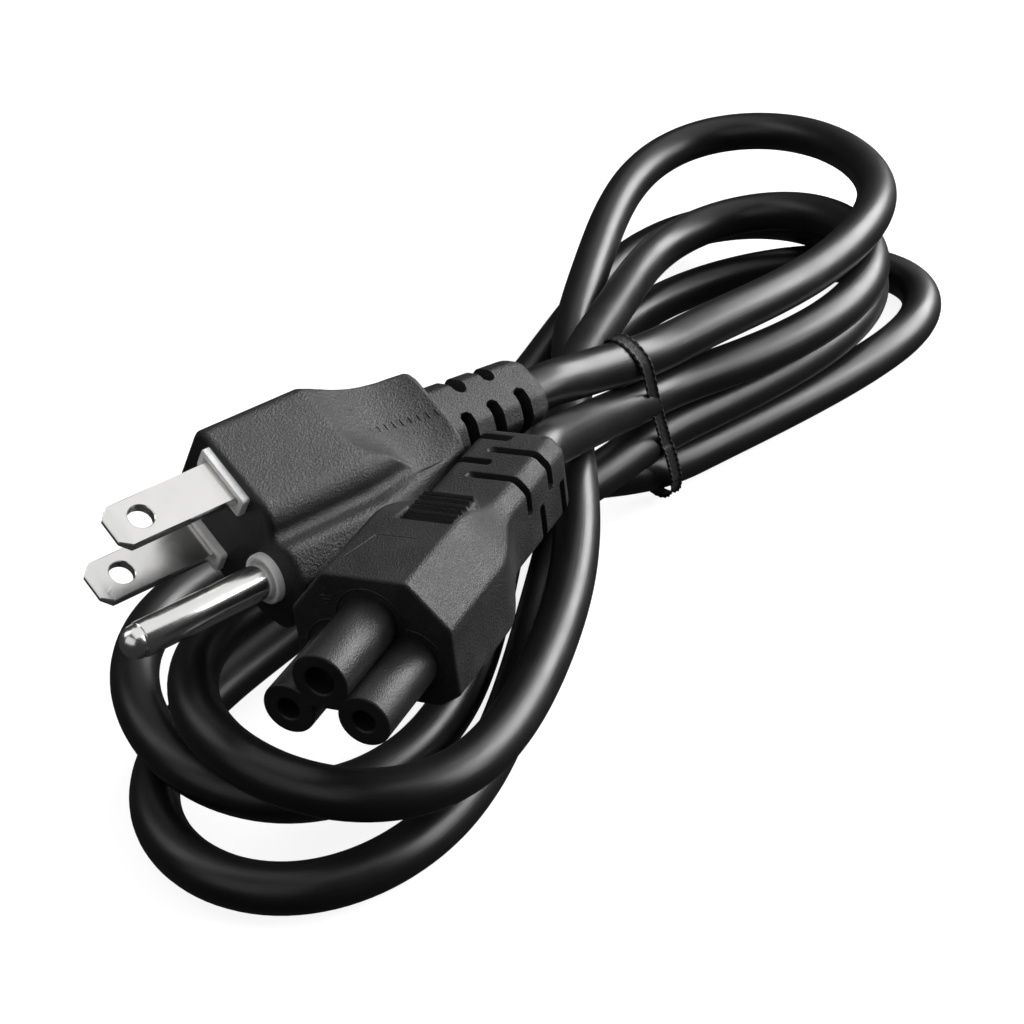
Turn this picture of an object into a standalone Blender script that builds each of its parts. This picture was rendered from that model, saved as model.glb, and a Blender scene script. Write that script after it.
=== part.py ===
"""Cloverleaf power cord: a three prong mains plug, a three hole connector and the
cord between them, wound into a flat hank and tied. Metres, +Z up, origin on the
floor under the middle of the whole. The hank lies along Y, plug and connector at -Y."""

import math

import bmesh
import bpy
import numpy as np
from mathutils import Matrix, Vector

clearance = 0.0003              # gap between pieces that touch

# cord
cord_diameter = 0.0068
strand_clearance = 0.0005       # least gap between two strands that cross
tube_points = 78
bend_density = 0.030            # metres: how much closer the tube's points stand in a bend
route_step = 0.005              # spacing of the points that are pushed apart
straight_lead = 0.005           # the cord leaves each strain relief straight

# tie round the hank
tie_width = 0.0034
tie_thickness = 0.0009
tie_strands = 4
tie_place = (0.0148, 0.0047)
tie_heading = math.radians(61.3)    # direction of the strands in the tie, from +X
tie_pitch = 0.0071              # height from one strand to the next
tie_hold = 0.0055               # the strands run straight for this far on each side

# plug, in its own frame: +X out along the blades, +Z towards the ground pin
plug_place = (-0.02344, -0.06626, 0.03858)
plug_forward = (-0.441, -0.894, 0.083)
plug_pin_side = (0.760, -0.421, -0.495)
blade_width = 0.00635
blade_thickness = 0.0015
blade_length = 0.0179           # beyond the face
blade_pitch = 0.0127
blade_hole = 0.0034
blade_hole_place = 0.0134       # from the face
blade_corner = 0.0013
blade_root = 0.0070             # inside the plug
pin_diameter = 0.00476
pin_length = 0.0227
pin_offset = 0.0119
collar_wall = 0.0010
collar_end_wall = 0.0015        # beyond a blade's edges
collar_rise = 0.0011
insert_depth = 0.0050           # from the face to the insert's back
insert_plate = 0.0022
plug_half_width = 0.0094        # at the shoulder, next to the ground pin
plug_top = -0.0077
plug_top_half_width = 0.0086
plug_shoulder = 0.0085
plug_waist = (0.0058, 0.0102)   # half width and height of the groove under the shoulder
plug_lobe = (0.0073, 0.0130)    # widest place of the lobe round the ground pin
plug_bottom = 0.0180
plug_bottom_half_width = 0.0050
plug_straight = 0.0164          # from the face to where the plug gets lower
plug_length = 0.0335            # face to flange
plug_end_top = -0.0041
plug_end_bottom = 0.0110
plug_end_half_width = 0.0077
plug_end_shoulder = 0.0062
plug_corner = 0.0018
plug_rim = 0.0006
grip_radius = 0.0190
grip_half_width = 0.0062        # half width left at the floor of the scoops
grip_place = -0.0263
grip_end = 0.0106               # the scoops stop at this height
plug_relief_end = -0.0522
plug_relief_half = 0.0058
plug_relief_taper = 0.0006
plug_relief_corner = 0.0014
plug_cord_height = 0.0042

# connector, in its own frame: +X out of the nose, +Z towards the earth hole
connector_place = (0.00546, -0.09707, 0.03443)
connector_forward = (-0.0637, -0.9964, 0.0552)
connector_up = (-0.0530, 0.0586, 0.9969)
nose_length = 0.0129
nose_root = 0.0040              # inside the body
line_pitch = 0.0100
earth_height = 0.00475
line_lobe = 0.0068
earth_lobe = 0.0073
web_bottom = 0.0009
line_hole = 0.0029
earth_hole = 0.0037
hole_depth = 0.0125
contact_mouth = 0.0040          # how deep the contacts sit
contact_length = 0.0075
contact_wall = 0.0004
body_half_width = 0.0108
body_top = 0.0109
body_top_half_width = 0.0057
body_bottom = -0.0063
body_bottom_half_width = 0.0079
body_upper_side = 0.0051
body_lower_side = -0.0043
body_corner = 0.0006
body_back = -0.0300             # where the block starts to narrow
relief_start = -0.0410
connector_relief_end = -0.0589
connector_relief_half_width = 0.0064
connector_relief_half_height = 0.0061
connector_cord_height = 0.0005

# slots of both strain reliefs
slot_width = 0.0016
slot_floor = 0.0010             # material left between a slot and the cord's bore


def clear_scene():
    for item in list(bpy.data.objects):
        bpy.data.objects.remove(item, do_unlink=True)


def collection(name):
    group = bpy.data.collections.new(name)
    bpy.context.scene.collection.children.link(group)
    return group


def material(name, colour, roughness, metallic=0.0):
    shade = bpy.data.materials.new(name)
    shade.use_nodes = True
    surface = shade.node_tree.nodes["Principled BSDF"]
    surface.inputs["Base Color"].default_value = (*colour, 1.0)
    surface.inputs["Roughness"].default_value = roughness
    surface.inputs["Metallic"].default_value = metallic
    return shade


def frame_matrix(place, forward, up):
    """Matrix of a frame whose X is forward and whose Z is as near to up as it can be."""
    x_axis = Vector(forward).normalized()
    y_axis = Vector(up).cross(x_axis).normalized()
    z_axis = x_axis.cross(y_axis)
    turn = Matrix((x_axis, y_axis, z_axis)).transposed().to_4x4()
    return Matrix.Translation(place) @ turn


def add_object(name, mesh, group, shade=None):
    item = bpy.data.objects.new(name, mesh)
    group.objects.link(item)
    if shade:
        mesh.materials.append(shade)
    return item


def mesh_from(bm, name):
    bmesh.ops.recalc_face_normals(bm, faces=bm.faces)
    mesh = bpy.data.meshes.new(name)
    bm.to_mesh(mesh)
    bm.free()
    return mesh


def box(name, low, high):
    bm = bmesh.new()
    bmesh.ops.create_cube(bm, size=1.0)
    for vertex in bm.verts:
        for axis in range(3):
            middle = (low[axis] + high[axis]) / 2
            vertex.co[axis] = middle + vertex.co[axis] * (high[axis] - low[axis])
    return mesh_from(bm, name)


def cylinder(name, radius, start, end, y=0.0, z=0.0, segments=32):
    """Cylinder along X from start to end, its axis at y and z."""
    bm = bmesh.new()
    bmesh.ops.create_cone(bm, cap_ends=True, segments=segments, radius1=radius, radius2=radius,
                          depth=end - start)
    turn = Matrix.Rotation(math.radians(90), 4, "Y")
    bmesh.ops.transform(bm, matrix=Matrix.Translation(((start + end) / 2, y, z)) @ turn, verts=bm.verts)
    return mesh_from(bm, name)


def rounded_outline(corners, radius, steps=4):
    """Outline through the corners, each turned by an arc of the radius, either way round."""
    points = []
    count = len(corners)
    for index, corner in enumerate(corners):
        corner = Vector(corner)
        before = (Vector(corners[index - 1]) - corner).normalized()
        after = (Vector(corners[(index + 1) % count]) - corner).normalized()
        half = before.angle(after) / 2
        reach = radius / math.tan(half)
        centre = corner + (before + after).normalized() * (radius / math.sin(half))
        start = corner + before * reach - centre
        end = corner + after * reach - centre
        sweep = start.angle(end)
        for step in range(steps + 1):
            share = step / steps
            blend = (start * math.sin((1 - share) * sweep) + end * math.sin(share * sweep)) / math.sin(sweep)
            points.append(centre + blend)
    return points


def loft(name, sections):
    """Closed solid through sections, each an x and an outline of y and z."""
    bm = bmesh.new()
    rings = []
    for x, outline in sections:
        rings.append([bm.verts.new((x, point[0], point[1])) for point in outline])
    for ring, following in zip(rings, rings[1:]):
        for index in range(len(ring)):
            after = (index + 1) % len(ring)
            bm.faces.new((ring[index], ring[after], following[after], following[index]))
    bm.faces.new(rings[0])
    bm.faces.new(rings[-1])
    return mesh_from(bm, name)


def cut(item, mesh, cutters, operation="DIFFERENCE"):
    """Cuts the item by the mesh, which becomes a wire cutter in its own collection."""
    cutter = add_object(mesh.name, mesh, cutters)
    cutter.display_type = "WIRE"
    cutter.hide_render = True
    cutter.parent = item.parent
    change = item.modifiers.new(mesh.name, "BOOLEAN")
    change.operation = operation
    change.object = cutter


def blade_outline(grow=0.0):
    """Blade seen from its side: root square, tip corners cut off."""
    half = blade_width / 2 + grow
    tip = blade_length
    return [(-blade_root - grow, -half), (tip - blade_corner, -half), (tip, -half + blade_corner),
            (tip, half - blade_corner), (tip - blade_corner, half), (-blade_root - grow, half)]


def flat_blade(name, parts, shade, frame, y):
    """Blade as a flat outline with a round hole, standing across Y."""
    curve = bpy.data.curves.new(name, "CURVE")
    curve.dimensions = "2D"
    curve.fill_mode = "BOTH"
    curve.extrude = blade_thickness / 2
    hole = [(blade_hole_place + blade_hole / 2 * math.cos(math.radians(angle)),
             blade_hole / 2 * math.sin(math.radians(angle))) for angle in range(0, 360, 15)]
    for outline in (blade_outline(), hole):
        line = curve.splines.new("POLY")
        line.points.add(len(outline) - 1)
        for point, place in zip(line.points, outline):
            point.co = (place[0], place[1], 0.0, 1.0)
        line.use_cyclic_u = True
    curve.materials.append(shade)
    item = bpy.data.objects.new(name, curve)
    parts.objects.link(item)
    item.parent = frame
    item.location = (0.0, y, 0.0)
    item.rotation_euler = (math.radians(90), 0.0, 0.0)
    return item


def turned(name, profile, parts, shade, frame, y, z, closed=False):
    """Round piece about X: the profile's points are x and radius, from tip to root."""
    bm = bmesh.new()
    ring = [bm.verts.new((radius, 0.0, x)) for x, radius in profile]
    for first, second in zip(ring, ring[1:]):
        bm.edges.new((first, second))
    if closed:
        bm.edges.new((ring[-1], ring[0]))
    mesh = bpy.data.meshes.new(name)
    bm.to_mesh(mesh)
    bm.free()
    item = add_object(name, mesh, parts, shade)
    item.parent = frame
    item.location = (0.0, y, z)
    item.rotation_euler = (0.0, math.radians(90), 0.0)
    screw = item.modifiers.new("turn", "SCREW")
    screw.axis = "Z"
    screw.steps = screw.render_steps = 28
    screw.use_merge_vertices = True
    screw.merge_threshold = 0.00002
    screw.use_smooth_shade = True
    return item


def mirrored(side):
    """Closed row of corners from those of one side, named from the blades' side to the pin's."""
    return side + [(-y, z) for y, z in reversed(side)]


def plug_outline(inset=0.0):
    """Plug's section: straight sides down to a shoulder, a groove and a lobe round the ground pin."""
    side = [(plug_top_half_width, plug_top), (plug_half_width, plug_shoulder), plug_waist, plug_lobe,
            (plug_bottom_half_width, plug_bottom)]
    return rounded_outline(mirrored(inset_corners(side, inset)), plug_corner)


def plug_end_outline(inset=0.0):
    """Plug's section at the flange, lower and narrower and without the groove."""
    half = plug_end_half_width
    side = [(half * 0.98, plug_end_top), (half, plug_end_shoulder), (half * 0.94, plug_end_bottom * 0.8),
            (half * 0.78, plug_end_bottom * 0.94), (half * 0.52, plug_end_bottom)]
    return rounded_outline(mirrored(inset_corners(side, inset)), plug_relief_corner)


def inset_corners(side, inset):
    return [(y - inset, z - math.copysign(inset, z - plug_cord_height)) for y, z in side]


def plug_relief_outline(taper):
    """Strain relief's section, between round and square."""
    half = plug_relief_half - taper
    side = [(half * 0.60, -half), (half * 0.98, -half * 0.60), (half * 1.03, 0.0), (half * 0.98, half * 0.60),
            (half * 0.60, half)]
    return rounded_outline([(y, plug_cord_height + z) for y, z in mirrored(side)], plug_relief_corner)


def prong_shapes(grow):
    """The two blades' and the pin's bodies inside the plug, grown by a clearance."""
    shapes = []
    half = blade_width / 2 + grow
    for side in (-1, 1):
        middle = side * blade_pitch / 2
        reach = blade_thickness / 2 + grow
        shapes.append(box("blade_space", (-blade_root - grow, middle - reach, -half),
                          (blade_length, middle + reach, half)))
    shapes.append(cylinder("pin_space", pin_diameter / 2 + grow, -blade_root - grow, pin_length, 0.0, pin_offset))
    return shapes


def insert_meshes(grow):
    """White insert: a hidden plate and a collar round each prong that shows at the face."""
    back = -insert_depth - grow
    front = collar_rise + grow
    plate_front = -insert_depth + insert_plate + grow
    reach = blade_pitch / 2 + blade_thickness / 2 + collar_wall + grow
    pin_radius = pin_diameter / 2 + collar_wall + grow
    half = blade_width / 2 + collar_end_wall + grow
    pieces = [box("plate", (back, -reach, -half), (plate_front, reach, half)),
              box("plate_neck", (back, -pin_radius, 0.0), (plate_front, pin_radius, pin_offset))]
    for side in (-1, 1):
        middle = side * blade_pitch / 2
        wall = blade_thickness / 2 + collar_wall + grow
        pieces.append(box("collar", (back, middle - wall, -half), (front, middle + wall, half)))
    pieces.append(cylinder("pin_collar", pin_radius, back, front, 0.0, pin_offset))
    return pieces


def union_object(name, pieces, group, cutters, shade, frame):
    item = add_object(name, pieces[0], group, shade)
    item.parent = frame
    for piece in pieces[1:]:
        cut(item, piece, cutters, "UNION")
    return item


def build_plug(parts, cutters, frame, black, white, nickel):
    sections = [(0.0, plug_outline(plug_rim)), (-plug_rim, plug_outline()), (-plug_straight, plug_outline()),
                (-plug_length + plug_rim, plug_end_outline()), (-plug_length, plug_end_outline(plug_rim)),
                (-plug_length - 0.0005, plug_relief_outline(0.0)),
                (plug_relief_end + 0.0010, plug_relief_outline(plug_relief_taper)),
                (plug_relief_end, plug_relief_outline(plug_relief_taper + 0.0007))]
    body = add_object("plug_body", loft("plug_body", sections), parts, black)
    body.parent = frame
    for side in (-1, 1):
        scoop = bmesh.new()
        bmesh.ops.create_cone(scoop, cap_ends=True, segments=72, radius1=grip_radius, radius2=grip_radius,
                              depth=0.0300)
        away = grip_half_width + grip_radius
        bmesh.ops.translate(scoop, vec=(grip_place, side * away, grip_end - 0.0150), verts=scoop.verts)
        cut(body, mesh_from(scoop, "grip_scoop"), cutters)
    for piece in insert_meshes(clearance):
        cut(body, piece, cutters)
    for piece in prong_shapes(clearance):
        cut(body, piece, cutters)
    relief_slots(body, cutters, (-0.0371, -0.0420, -0.0469), plug_cord_height, plug_relief_half)
    insert = union_object("prong_insert", insert_meshes(0.0), parts, cutters, white, frame)
    for piece in prong_shapes(clearance):
        cut(insert, piece, cutters)
    flat_blade("line_blade", parts, nickel, frame, -blade_pitch / 2)
    flat_blade("neutral_blade", parts, nickel, frame, blade_pitch / 2)
    radius = pin_diameter / 2
    dome = [(pin_length - radius + radius * math.cos(math.radians(angle)),
             radius * math.sin(math.radians(angle))) for angle in range(0, 91, 15)]
    turned("ground_pin", dome + [(-blade_root, radius), (-blade_root, 0.0)], parts, nickel, frame, 0.0, pin_offset)


def relief_slots(body, cutters, places, middle, half):
    """Slots in a strain relief: long ones in both sides, short ones between them on top and below."""
    core = cord_diameter / 2 + slot_floor
    reach = half + 0.0040
    for place in places:
        for side in (-1, 1):
            low, high = sorted((side * core, side * reach))
            cut(body, box("side_slot", (place - slot_width / 2, low, middle - half * 0.65),
                          (place + slot_width / 2, high, middle + half * 0.65)), cutters)
    for place in places[:-1]:
        between = place - (places[0] - places[1]) / 2
        for side in (-1, 1):
            low, high = sorted((middle + side * core, middle + side * reach))
            cut(body, box("top_slot", (between - slot_width / 2, -half * 0.45, low),
                          (between + slot_width / 2, half * 0.45, high)), cutters)


def body_outline(inset=0.0, share=0.0):
    """Connector's eight cornered section. A share of 1 gives the strain relief's section."""
    relief_width = connector_relief_half_width
    relief_height = connector_relief_half_height
    middle = connector_cord_height
    block = [(-body_top_half_width, body_top), (body_top_half_width, body_top),
             (body_half_width, body_upper_side), (body_half_width, body_lower_side),
             (body_bottom_half_width, body_bottom), (-body_bottom_half_width, body_bottom),
             (-body_half_width, body_lower_side), (-body_half_width, body_upper_side)]
    relief = [(-relief_width * 0.75, middle + relief_height), (relief_width * 0.75, middle + relief_height),
              (relief_width, middle + relief_height * 0.7), (relief_width, middle - relief_height * 0.7),
              (relief_width * 0.75, middle - relief_height), (-relief_width * 0.75, middle - relief_height),
              (-relief_width, middle - relief_height * 0.7), (-relief_width, middle + relief_height * 0.7)]
    corners = []
    for near, far in zip(block, relief):
        y = near[0] + (far[0] - near[0]) * share
        z = near[1] + (far[1] - near[1]) * share
        corners.append((y - math.copysign(inset, y), z - math.copysign(inset, z - middle)))
    return rounded_outline(corners, body_corner, 3)


def nose_meshes(grow):
    """Cloverleaf nose: three round lobes with a web between them."""
    back = -nose_length - nose_root - grow
    lobes = [(-line_pitch / 2, 0.0, line_lobe), (line_pitch / 2, 0.0, line_lobe), (0.0, earth_height, earth_lobe)]
    pieces = [cylinder("lobe", size / 2 + grow, back, 0.0, y, z, 36) for y, z, size in lobes]
    web = [(-line_pitch / 2, web_bottom - grow), (line_pitch / 2, web_bottom - grow),
           (1.2 * grow, earth_height + grow), (-1.2 * grow - 0.0001, earth_height + grow)]
    pieces.append(loft("web", [(back, web), (0.0, web)]))
    return pieces


def build_connector(parts, cutters, frame, black, nose_black, metal):
    face = -nose_length
    sections = [(face, body_outline(0.0005)), (face - 0.0005, body_outline()), (body_back, body_outline(0.0, 0.12)),
                (body_back - 0.0040, body_outline(0.0, 0.60)), (relief_start, body_outline(0.0, 1.0)),
                (connector_relief_end + 0.0008, body_outline(0.0006, 1.0)),
                (connector_relief_end, body_outline(0.0014, 1.0))]
    body = add_object("connector_body", loft("connector_body", sections), parts, black)
    body.parent = frame
    for piece in nose_meshes(clearance):
        cut(body, piece, cutters)
    relief_slots(body, cutters, (-0.0448, -0.0497, -0.0546), connector_cord_height, connector_relief_half_height)
    nose = union_object("connector_nose", nose_meshes(0.0), parts, cutters, nose_black, frame)
    holes = [("earth", earth_hole, 0.0, earth_height), ("line", line_hole, -line_pitch / 2, 0.0),
             ("neutral", line_hole, line_pitch / 2, 0.0)]
    for name, size, y, z in holes:
        cut(nose, cylinder("hole", size / 2, -hole_depth, 0.0010, y, z, 24), cutters)
        outer = size / 2 - clearance
        inner = outer - contact_wall
        mouth = -contact_mouth
        back = mouth - contact_length
        ring = [(mouth, inner), (mouth, outer), (back, outer), (back, inner)]
        turned(name + "_contact", ring, parts, metal, frame, y, z, closed=True)


def through_tie(level, along):
    """Point in the tie's stack of strands: level 0 is the lowest, along is the way from the tie."""
    height = tie_thickness + 2 * clearance + cord_diameter / 2 + level * tie_pitch
    return (tie_place[0] + along * math.cos(tie_heading), tie_place[1] + along * math.sin(tie_heading), height)


# The cord's way from the plug to the connector, chosen strand by strand.
route = [
    # out of the plug and up through the tie
    through_tie(3, -0.002),
    through_tie(3, 0.008),
    # upper back loop and down its left side
    (0.0273, 0.0262, 0.023),
    (0.0343, 0.0442, 0.021),
    (0.0368, 0.0617, 0.020),
    (0.0293, 0.0812, 0.019),
    (0.0153, 0.0957, 0.0175),
    (0.0018, 0.0992, 0.0165),
    (-0.0097, 0.0947, 0.0155),
    (-0.0147, 0.0807, 0.0145),
    (-0.0112, 0.0422, 0.0106),
    (-0.0092, 0.0282, 0.0109),
    # under the neck to the front
    (0.0013, 0.0022, 0.0042),
    (0.0078, -0.0318, 0.0034),
    (0.0123, -0.0603, 0.0034),
    (0.0128, -0.0723, 0.0034),
    # outer front loop
    (0.0108, -0.0838, 0.0034),
    (0.0048, -0.0933, 0.0034),
    (-0.0052, -0.0996, 0.0034),
    (-0.0172, -0.0978, 0.0034),
    (-0.0277, -0.0913, 0.0034),
    (-0.0337, -0.0793, 0.0034),
    (-0.0332, -0.0643, 0.0034),
    # back under the plug to the tie
    (-0.0267, -0.0498, 0.0034),
    (-0.0132, -0.0253, 0.0092),
    (-0.0047, -0.0163, 0.0106),
    through_tie(0, -0.005),
    through_tie(0, 0.006),
    # right hand back loop on the floor
    (0.0313, 0.0327, 0.0034),
    (0.0448, 0.0587, 0.0034),
    (0.0458, 0.0687, 0.0034),
    (0.0398, 0.0777, 0.0034),
    (0.0288, 0.0812, 0.0034),
    (0.0178, 0.0782, 0.0034),
    (-0.0037, 0.0577, 0.0034),
    # down the middle to the front
    (-0.0077, 0.0202, 0.0034),
    (-0.0042, -0.0118, 0.0034),
    (0.0023, -0.0408, 0.0034),
    (0.0053, -0.0638, 0.004),
    (0.0028, -0.0753, 0.005),
    # left front loop
    (-0.0027, -0.0848, 0.006),
    (-0.0112, -0.0883, 0.007),
    (-0.0212, -0.0878, 0.008),
    (-0.0312, -0.0818, 0.009),
    (-0.0392, -0.0728, 0.0102),
    (-0.0442, -0.0588, 0.0102),
    # back up the left side
    (-0.0377, -0.0368, 0.008),
    (-0.0187, 0.0042, 0.0038),
    (-0.0157, 0.0487, 0.0034),
    # low back loop
    (-0.0122, 0.0777, 0.0034),
    (-0.0022, 0.0862, 0.0045),
    (0.0123, 0.0837, 0.0075),
    (0.0258, 0.0757, 0.0103),
    (0.0363, 0.0617, 0.0107),
    (0.0373, 0.0477, 0.0108),
    (0.0238, 0.0187, 0.0113),
    through_tie(1, 0.004),
    # across the neck to the front
    (0.010, -0.0046, 0.0118),
    (0.0068, -0.0126, 0.0106),
    (0.001, -0.0222, 0.0106),
    (-0.0132, -0.0388, 0.015),
    # top front loop
    (-0.0292, -0.0628, 0.0175),
    (-0.0292, -0.0738, 0.0175),
    (-0.0222, -0.0848, 0.017),
    (-0.0127, -0.0898, 0.016),
    (-0.0017, -0.0918, 0.015),
    (0.0088, -0.0893, 0.0135),
    (0.0153, -0.0823, 0.012),
    # up the right side and over the neck
    (0.0168, -0.0593, 0.011),
    (0.0138, -0.0293, 0.013),
    (0.0082, -0.0155, 0.0174),
    (0.004, -0.0062, 0.018),
    (-0.0004, 0.0072, 0.0168),
    # inner back loop
    (-0.0027, 0.0437, 0.012),
    (-0.0042, 0.0612, 0.0105),
    (0.0003, 0.0727, 0.0105),
    (0.0088, 0.0792, 0.0115),
    (0.0188, 0.0792, 0.013),
    (0.0318, 0.0697, 0.0155),
    (0.0398, 0.0502, 0.0165),
    (0.0283, 0.0217, 0.0176),
    through_tie(2, 0.004),
    # over the neck to the connector
    (0.0102, -0.0054, 0.0208),
    (0.0096, -0.016, 0.025),
    (0.0098, -0.026, 0.0292),
]


def smooth_line(points, spacing):
    """Evenly spaced points on a smooth curve through the route's points."""
    knots = [2 * points[0] - points[1], *points, 2 * points[-1] - points[-2]]
    dense = []
    for a, b, c, d in zip(knots, knots[1:], knots[2:], knots[3:]):
        first = math.sqrt(np.linalg.norm(b - a))
        second = first + math.sqrt(np.linalg.norm(c - b))
        third = second + math.sqrt(np.linalg.norm(d - c))
        for at in np.linspace(first, second, 16, endpoint=False):
            ab = ((first - at) * a + at * b) / first
            bc = ((second - at) * b + (at - first) * c) / (second - first)
            cd = ((third - at) * c + (at - second) * d) / (third - second)
            low = ((second - at) * ab + at * bc) / second
            high = ((third - at) * bc + (at - first) * cd) / (third - first)
            dense.append(((second - at) * low + (at - first) * high) / (second - first))
    dense.append(points[-1])
    return even_points(np.array(dense), spacing)


def even_points(line, spacing):
    length = np.concatenate(([0.0], np.cumsum(np.linalg.norm(np.diff(line, axis=0), axis=1))))
    count = int(round(length[-1] / spacing)) + 1
    places = np.linspace(0.0, length[-1], count)
    return np.stack([np.interp(places, length, line[:, axis]) for axis in range(3)], axis=1)


def in_tie(line):
    """Which points lie in the tie or close to it, with their way along its strands' direction."""
    ahead = np.array([math.cos(tie_heading), math.sin(tie_heading)])
    away = line[:, :2] - tie_place
    along = away @ ahead
    across = away @ np.array([-ahead[1], ahead[0]])
    return (np.abs(along) < tie_hold) & (np.abs(across) < cord_diameter), along


def hold_in_tie(line):
    """Puts the points in the tie on the straight middle line of their strand."""
    held, along = in_tie(line)
    lowest = through_tie(0, 0.0)[2]
    level = np.round((line[held, 2] - lowest) / tie_pitch)
    line[held, 0] = tie_place[0] + along[held] * math.cos(tie_heading)
    line[held, 1] = tie_place[1] + along[held] * math.sin(tie_heading)
    line[held, 2] = lowest + level * tie_pitch


def settle(line):
    """Pushes strands that cross or touch apart, keeps them on the floor and spreads each push along."""
    for _ in range(8):
        line[2:-2] += 0.25 * (line[1:-3] + line[3:-1] - 2 * line[2:-2])
    hold_in_tie(line)
    least = cord_diameter + strand_clearance
    order = np.arange(len(line))
    apart = np.abs(order[:, None] - order[None]) * route_step > 4 * least
    free = np.ones((len(line), 1))
    free[:3] = free[-3:] = 0.0
    moved = line.copy()
    for _ in range(400):
        between = moved[:, None] - moved[None]
        distance = np.linalg.norm(between, axis=2) + 1e-9
        lack = np.where(apart & (distance < least), least - distance, 0.0)
        push = (between / distance[..., None] * lack[..., None]).sum(axis=1) * 0.45
        moved += push / np.maximum(1, (lack > 0).sum(axis=1))[:, None] * free
        moved[:, 2] = np.maximum(moved[:, 2], cord_diameter / 2)
        hold_in_tie(moved)
        shift = moved - line
        for _ in range(3):
            shift[1:-1] += 0.25 * (shift[:-2] + shift[2:] - 2 * shift[1:-1]) * free[1:-1]
        moved = line + shift
        hold_in_tie(moved)
    return moved


def cord_end(place, forward, up, end, height):
    """The cord's last point in front of a strain relief, and the one it reaches that from, straight behind."""
    frame = frame_matrix(place, forward, up)
    return [np.array(frame @ Vector((end - clearance - behind, 0.0, height))) for behind in (0.0, straight_lead)]


def cord_line():
    leaving = cord_end(plug_place, plug_forward, plug_pin_side, plug_relief_end, plug_cord_height)
    arriving = cord_end(connector_place, connector_forward, connector_up, connector_relief_end,
                        connector_cord_height)
    points = leaving + [np.array(point) for point in route] + arriving[::-1]
    return settle(smooth_line(points, route_step))


def tube_line(line):
    """Fewer points on the same line: closer together in the bends, and the straight ones in the tie."""
    turn = np.linalg.norm(line[2:] - 2 * line[1:-1] + line[:-2], axis=1) / route_step ** 2
    density = 1.0 + bend_density * np.concatenate((turn[:1], turn, turn[-1:]))
    reach = np.concatenate(([0.0], np.cumsum((density[1:] + density[:-1]) / 2)))
    places = np.interp(np.linspace(reach[1], reach[-2], tube_points - 2), reach, np.arange(len(line)))
    held = np.flatnonzero(in_tie(line)[0])
    places = places[np.abs(places[:, None] - held).min(axis=1) >= 1.0]
    places = np.sort(np.concatenate(([0.0], places, held, [len(line) - 1.0])))
    return np.stack([np.interp(places, np.arange(len(line)), line[:, axis]) for axis in range(3)], axis=1)


def build_cord(parts, black):
    line = tube_line(cord_line())
    curve = bpy.data.curves.new("cord", "CURVE")
    curve.dimensions = "3D"
    curve.bevel_depth = cord_diameter / 2
    curve.bevel_resolution = 2
    curve.use_fill_caps = True
    way = curve.splines.new("POLY")
    way.points.add(len(line) - 1)
    for point, place in zip(way.points, line):
        point.co = (*place, 1.0)
    curve.materials.append(black)
    parts.objects.link(bpy.data.objects.new("cord", curve))


def build_tie(parts, black):
    """Flat band round the stack of strands: an outline with round ends, less the same outline inside."""
    curve = bpy.data.curves.new("twist_tie", "CURVE")
    curve.dimensions = "2D"
    curve.fill_mode = "BOTH"
    curve.extrude = tie_width / 2
    half_stack = (tie_strands - 1) * tie_pitch / 2
    for radius in (cord_diameter / 2 + clearance, cord_diameter / 2 + clearance + tie_thickness):
        outline = [(radius * math.cos(math.radians(angle)), half_stack + radius * math.sin(math.radians(angle)))
                   for angle in range(0, 181, 12)]
        outline += [(-x, -z) for x, z in outline]
        line = curve.splines.new("POLY")
        line.points.add(len(outline) - 1)
        for point, place in zip(line.points, outline):
            point.co = (place[0], place[1], 0.0, 1.0)
        line.use_cyclic_u = True
    curve.materials.append(black)
    item = bpy.data.objects.new("twist_tie", curve)
    parts.objects.link(item)
    middle = tie_thickness + 2 * clearance + cord_diameter / 2 + half_stack
    item.location = (*tie_place, middle)
    item.rotation_euler = (math.radians(90), 0.0, tie_heading + math.radians(90))


def main():
    clear_scene()
    parts = collection("cloverleaf_power_cord")
    cutters = collection("cutters")
    moulding = material("moulding_black", (0.022, 0.022, 0.023), 0.5)
    nose_black = material("nose_black", (0.026, 0.026, 0.027), 0.45)
    jacket = material("jacket_black", (0.015, 0.015, 0.016), 0.38)
    band = material("tie_black", (0.030, 0.030, 0.031), 0.7)
    white = material("insert_white", (0.78, 0.78, 0.77), 0.45)
    nickel = material("prong_nickel", (0.72, 0.71, 0.69), 0.25, 1.0)
    contact_metal = material("contact_metal", (0.75, 0.72, 0.66), 0.3, 1.0)
    plug_frame = bpy.data.objects.new("plug_frame", None)
    parts.objects.link(plug_frame)
    plug_frame.matrix_world = frame_matrix(plug_place, plug_forward, plug_pin_side)
    connector_frame = bpy.data.objects.new("connector_frame", None)
    parts.objects.link(connector_frame)
    connector_frame.matrix_world = frame_matrix(connector_place, connector_forward, connector_up)
    build_plug(parts, cutters, plug_frame, moulding, white, nickel)
    build_connector(parts, cutters, connector_frame, moulding, nose_black, contact_metal)
    build_cord(parts, jacket)
    build_tie(parts, band)


main()
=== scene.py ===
import itertools
import math
import bpy
import numpy as np
from mathutils import Matrix


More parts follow.
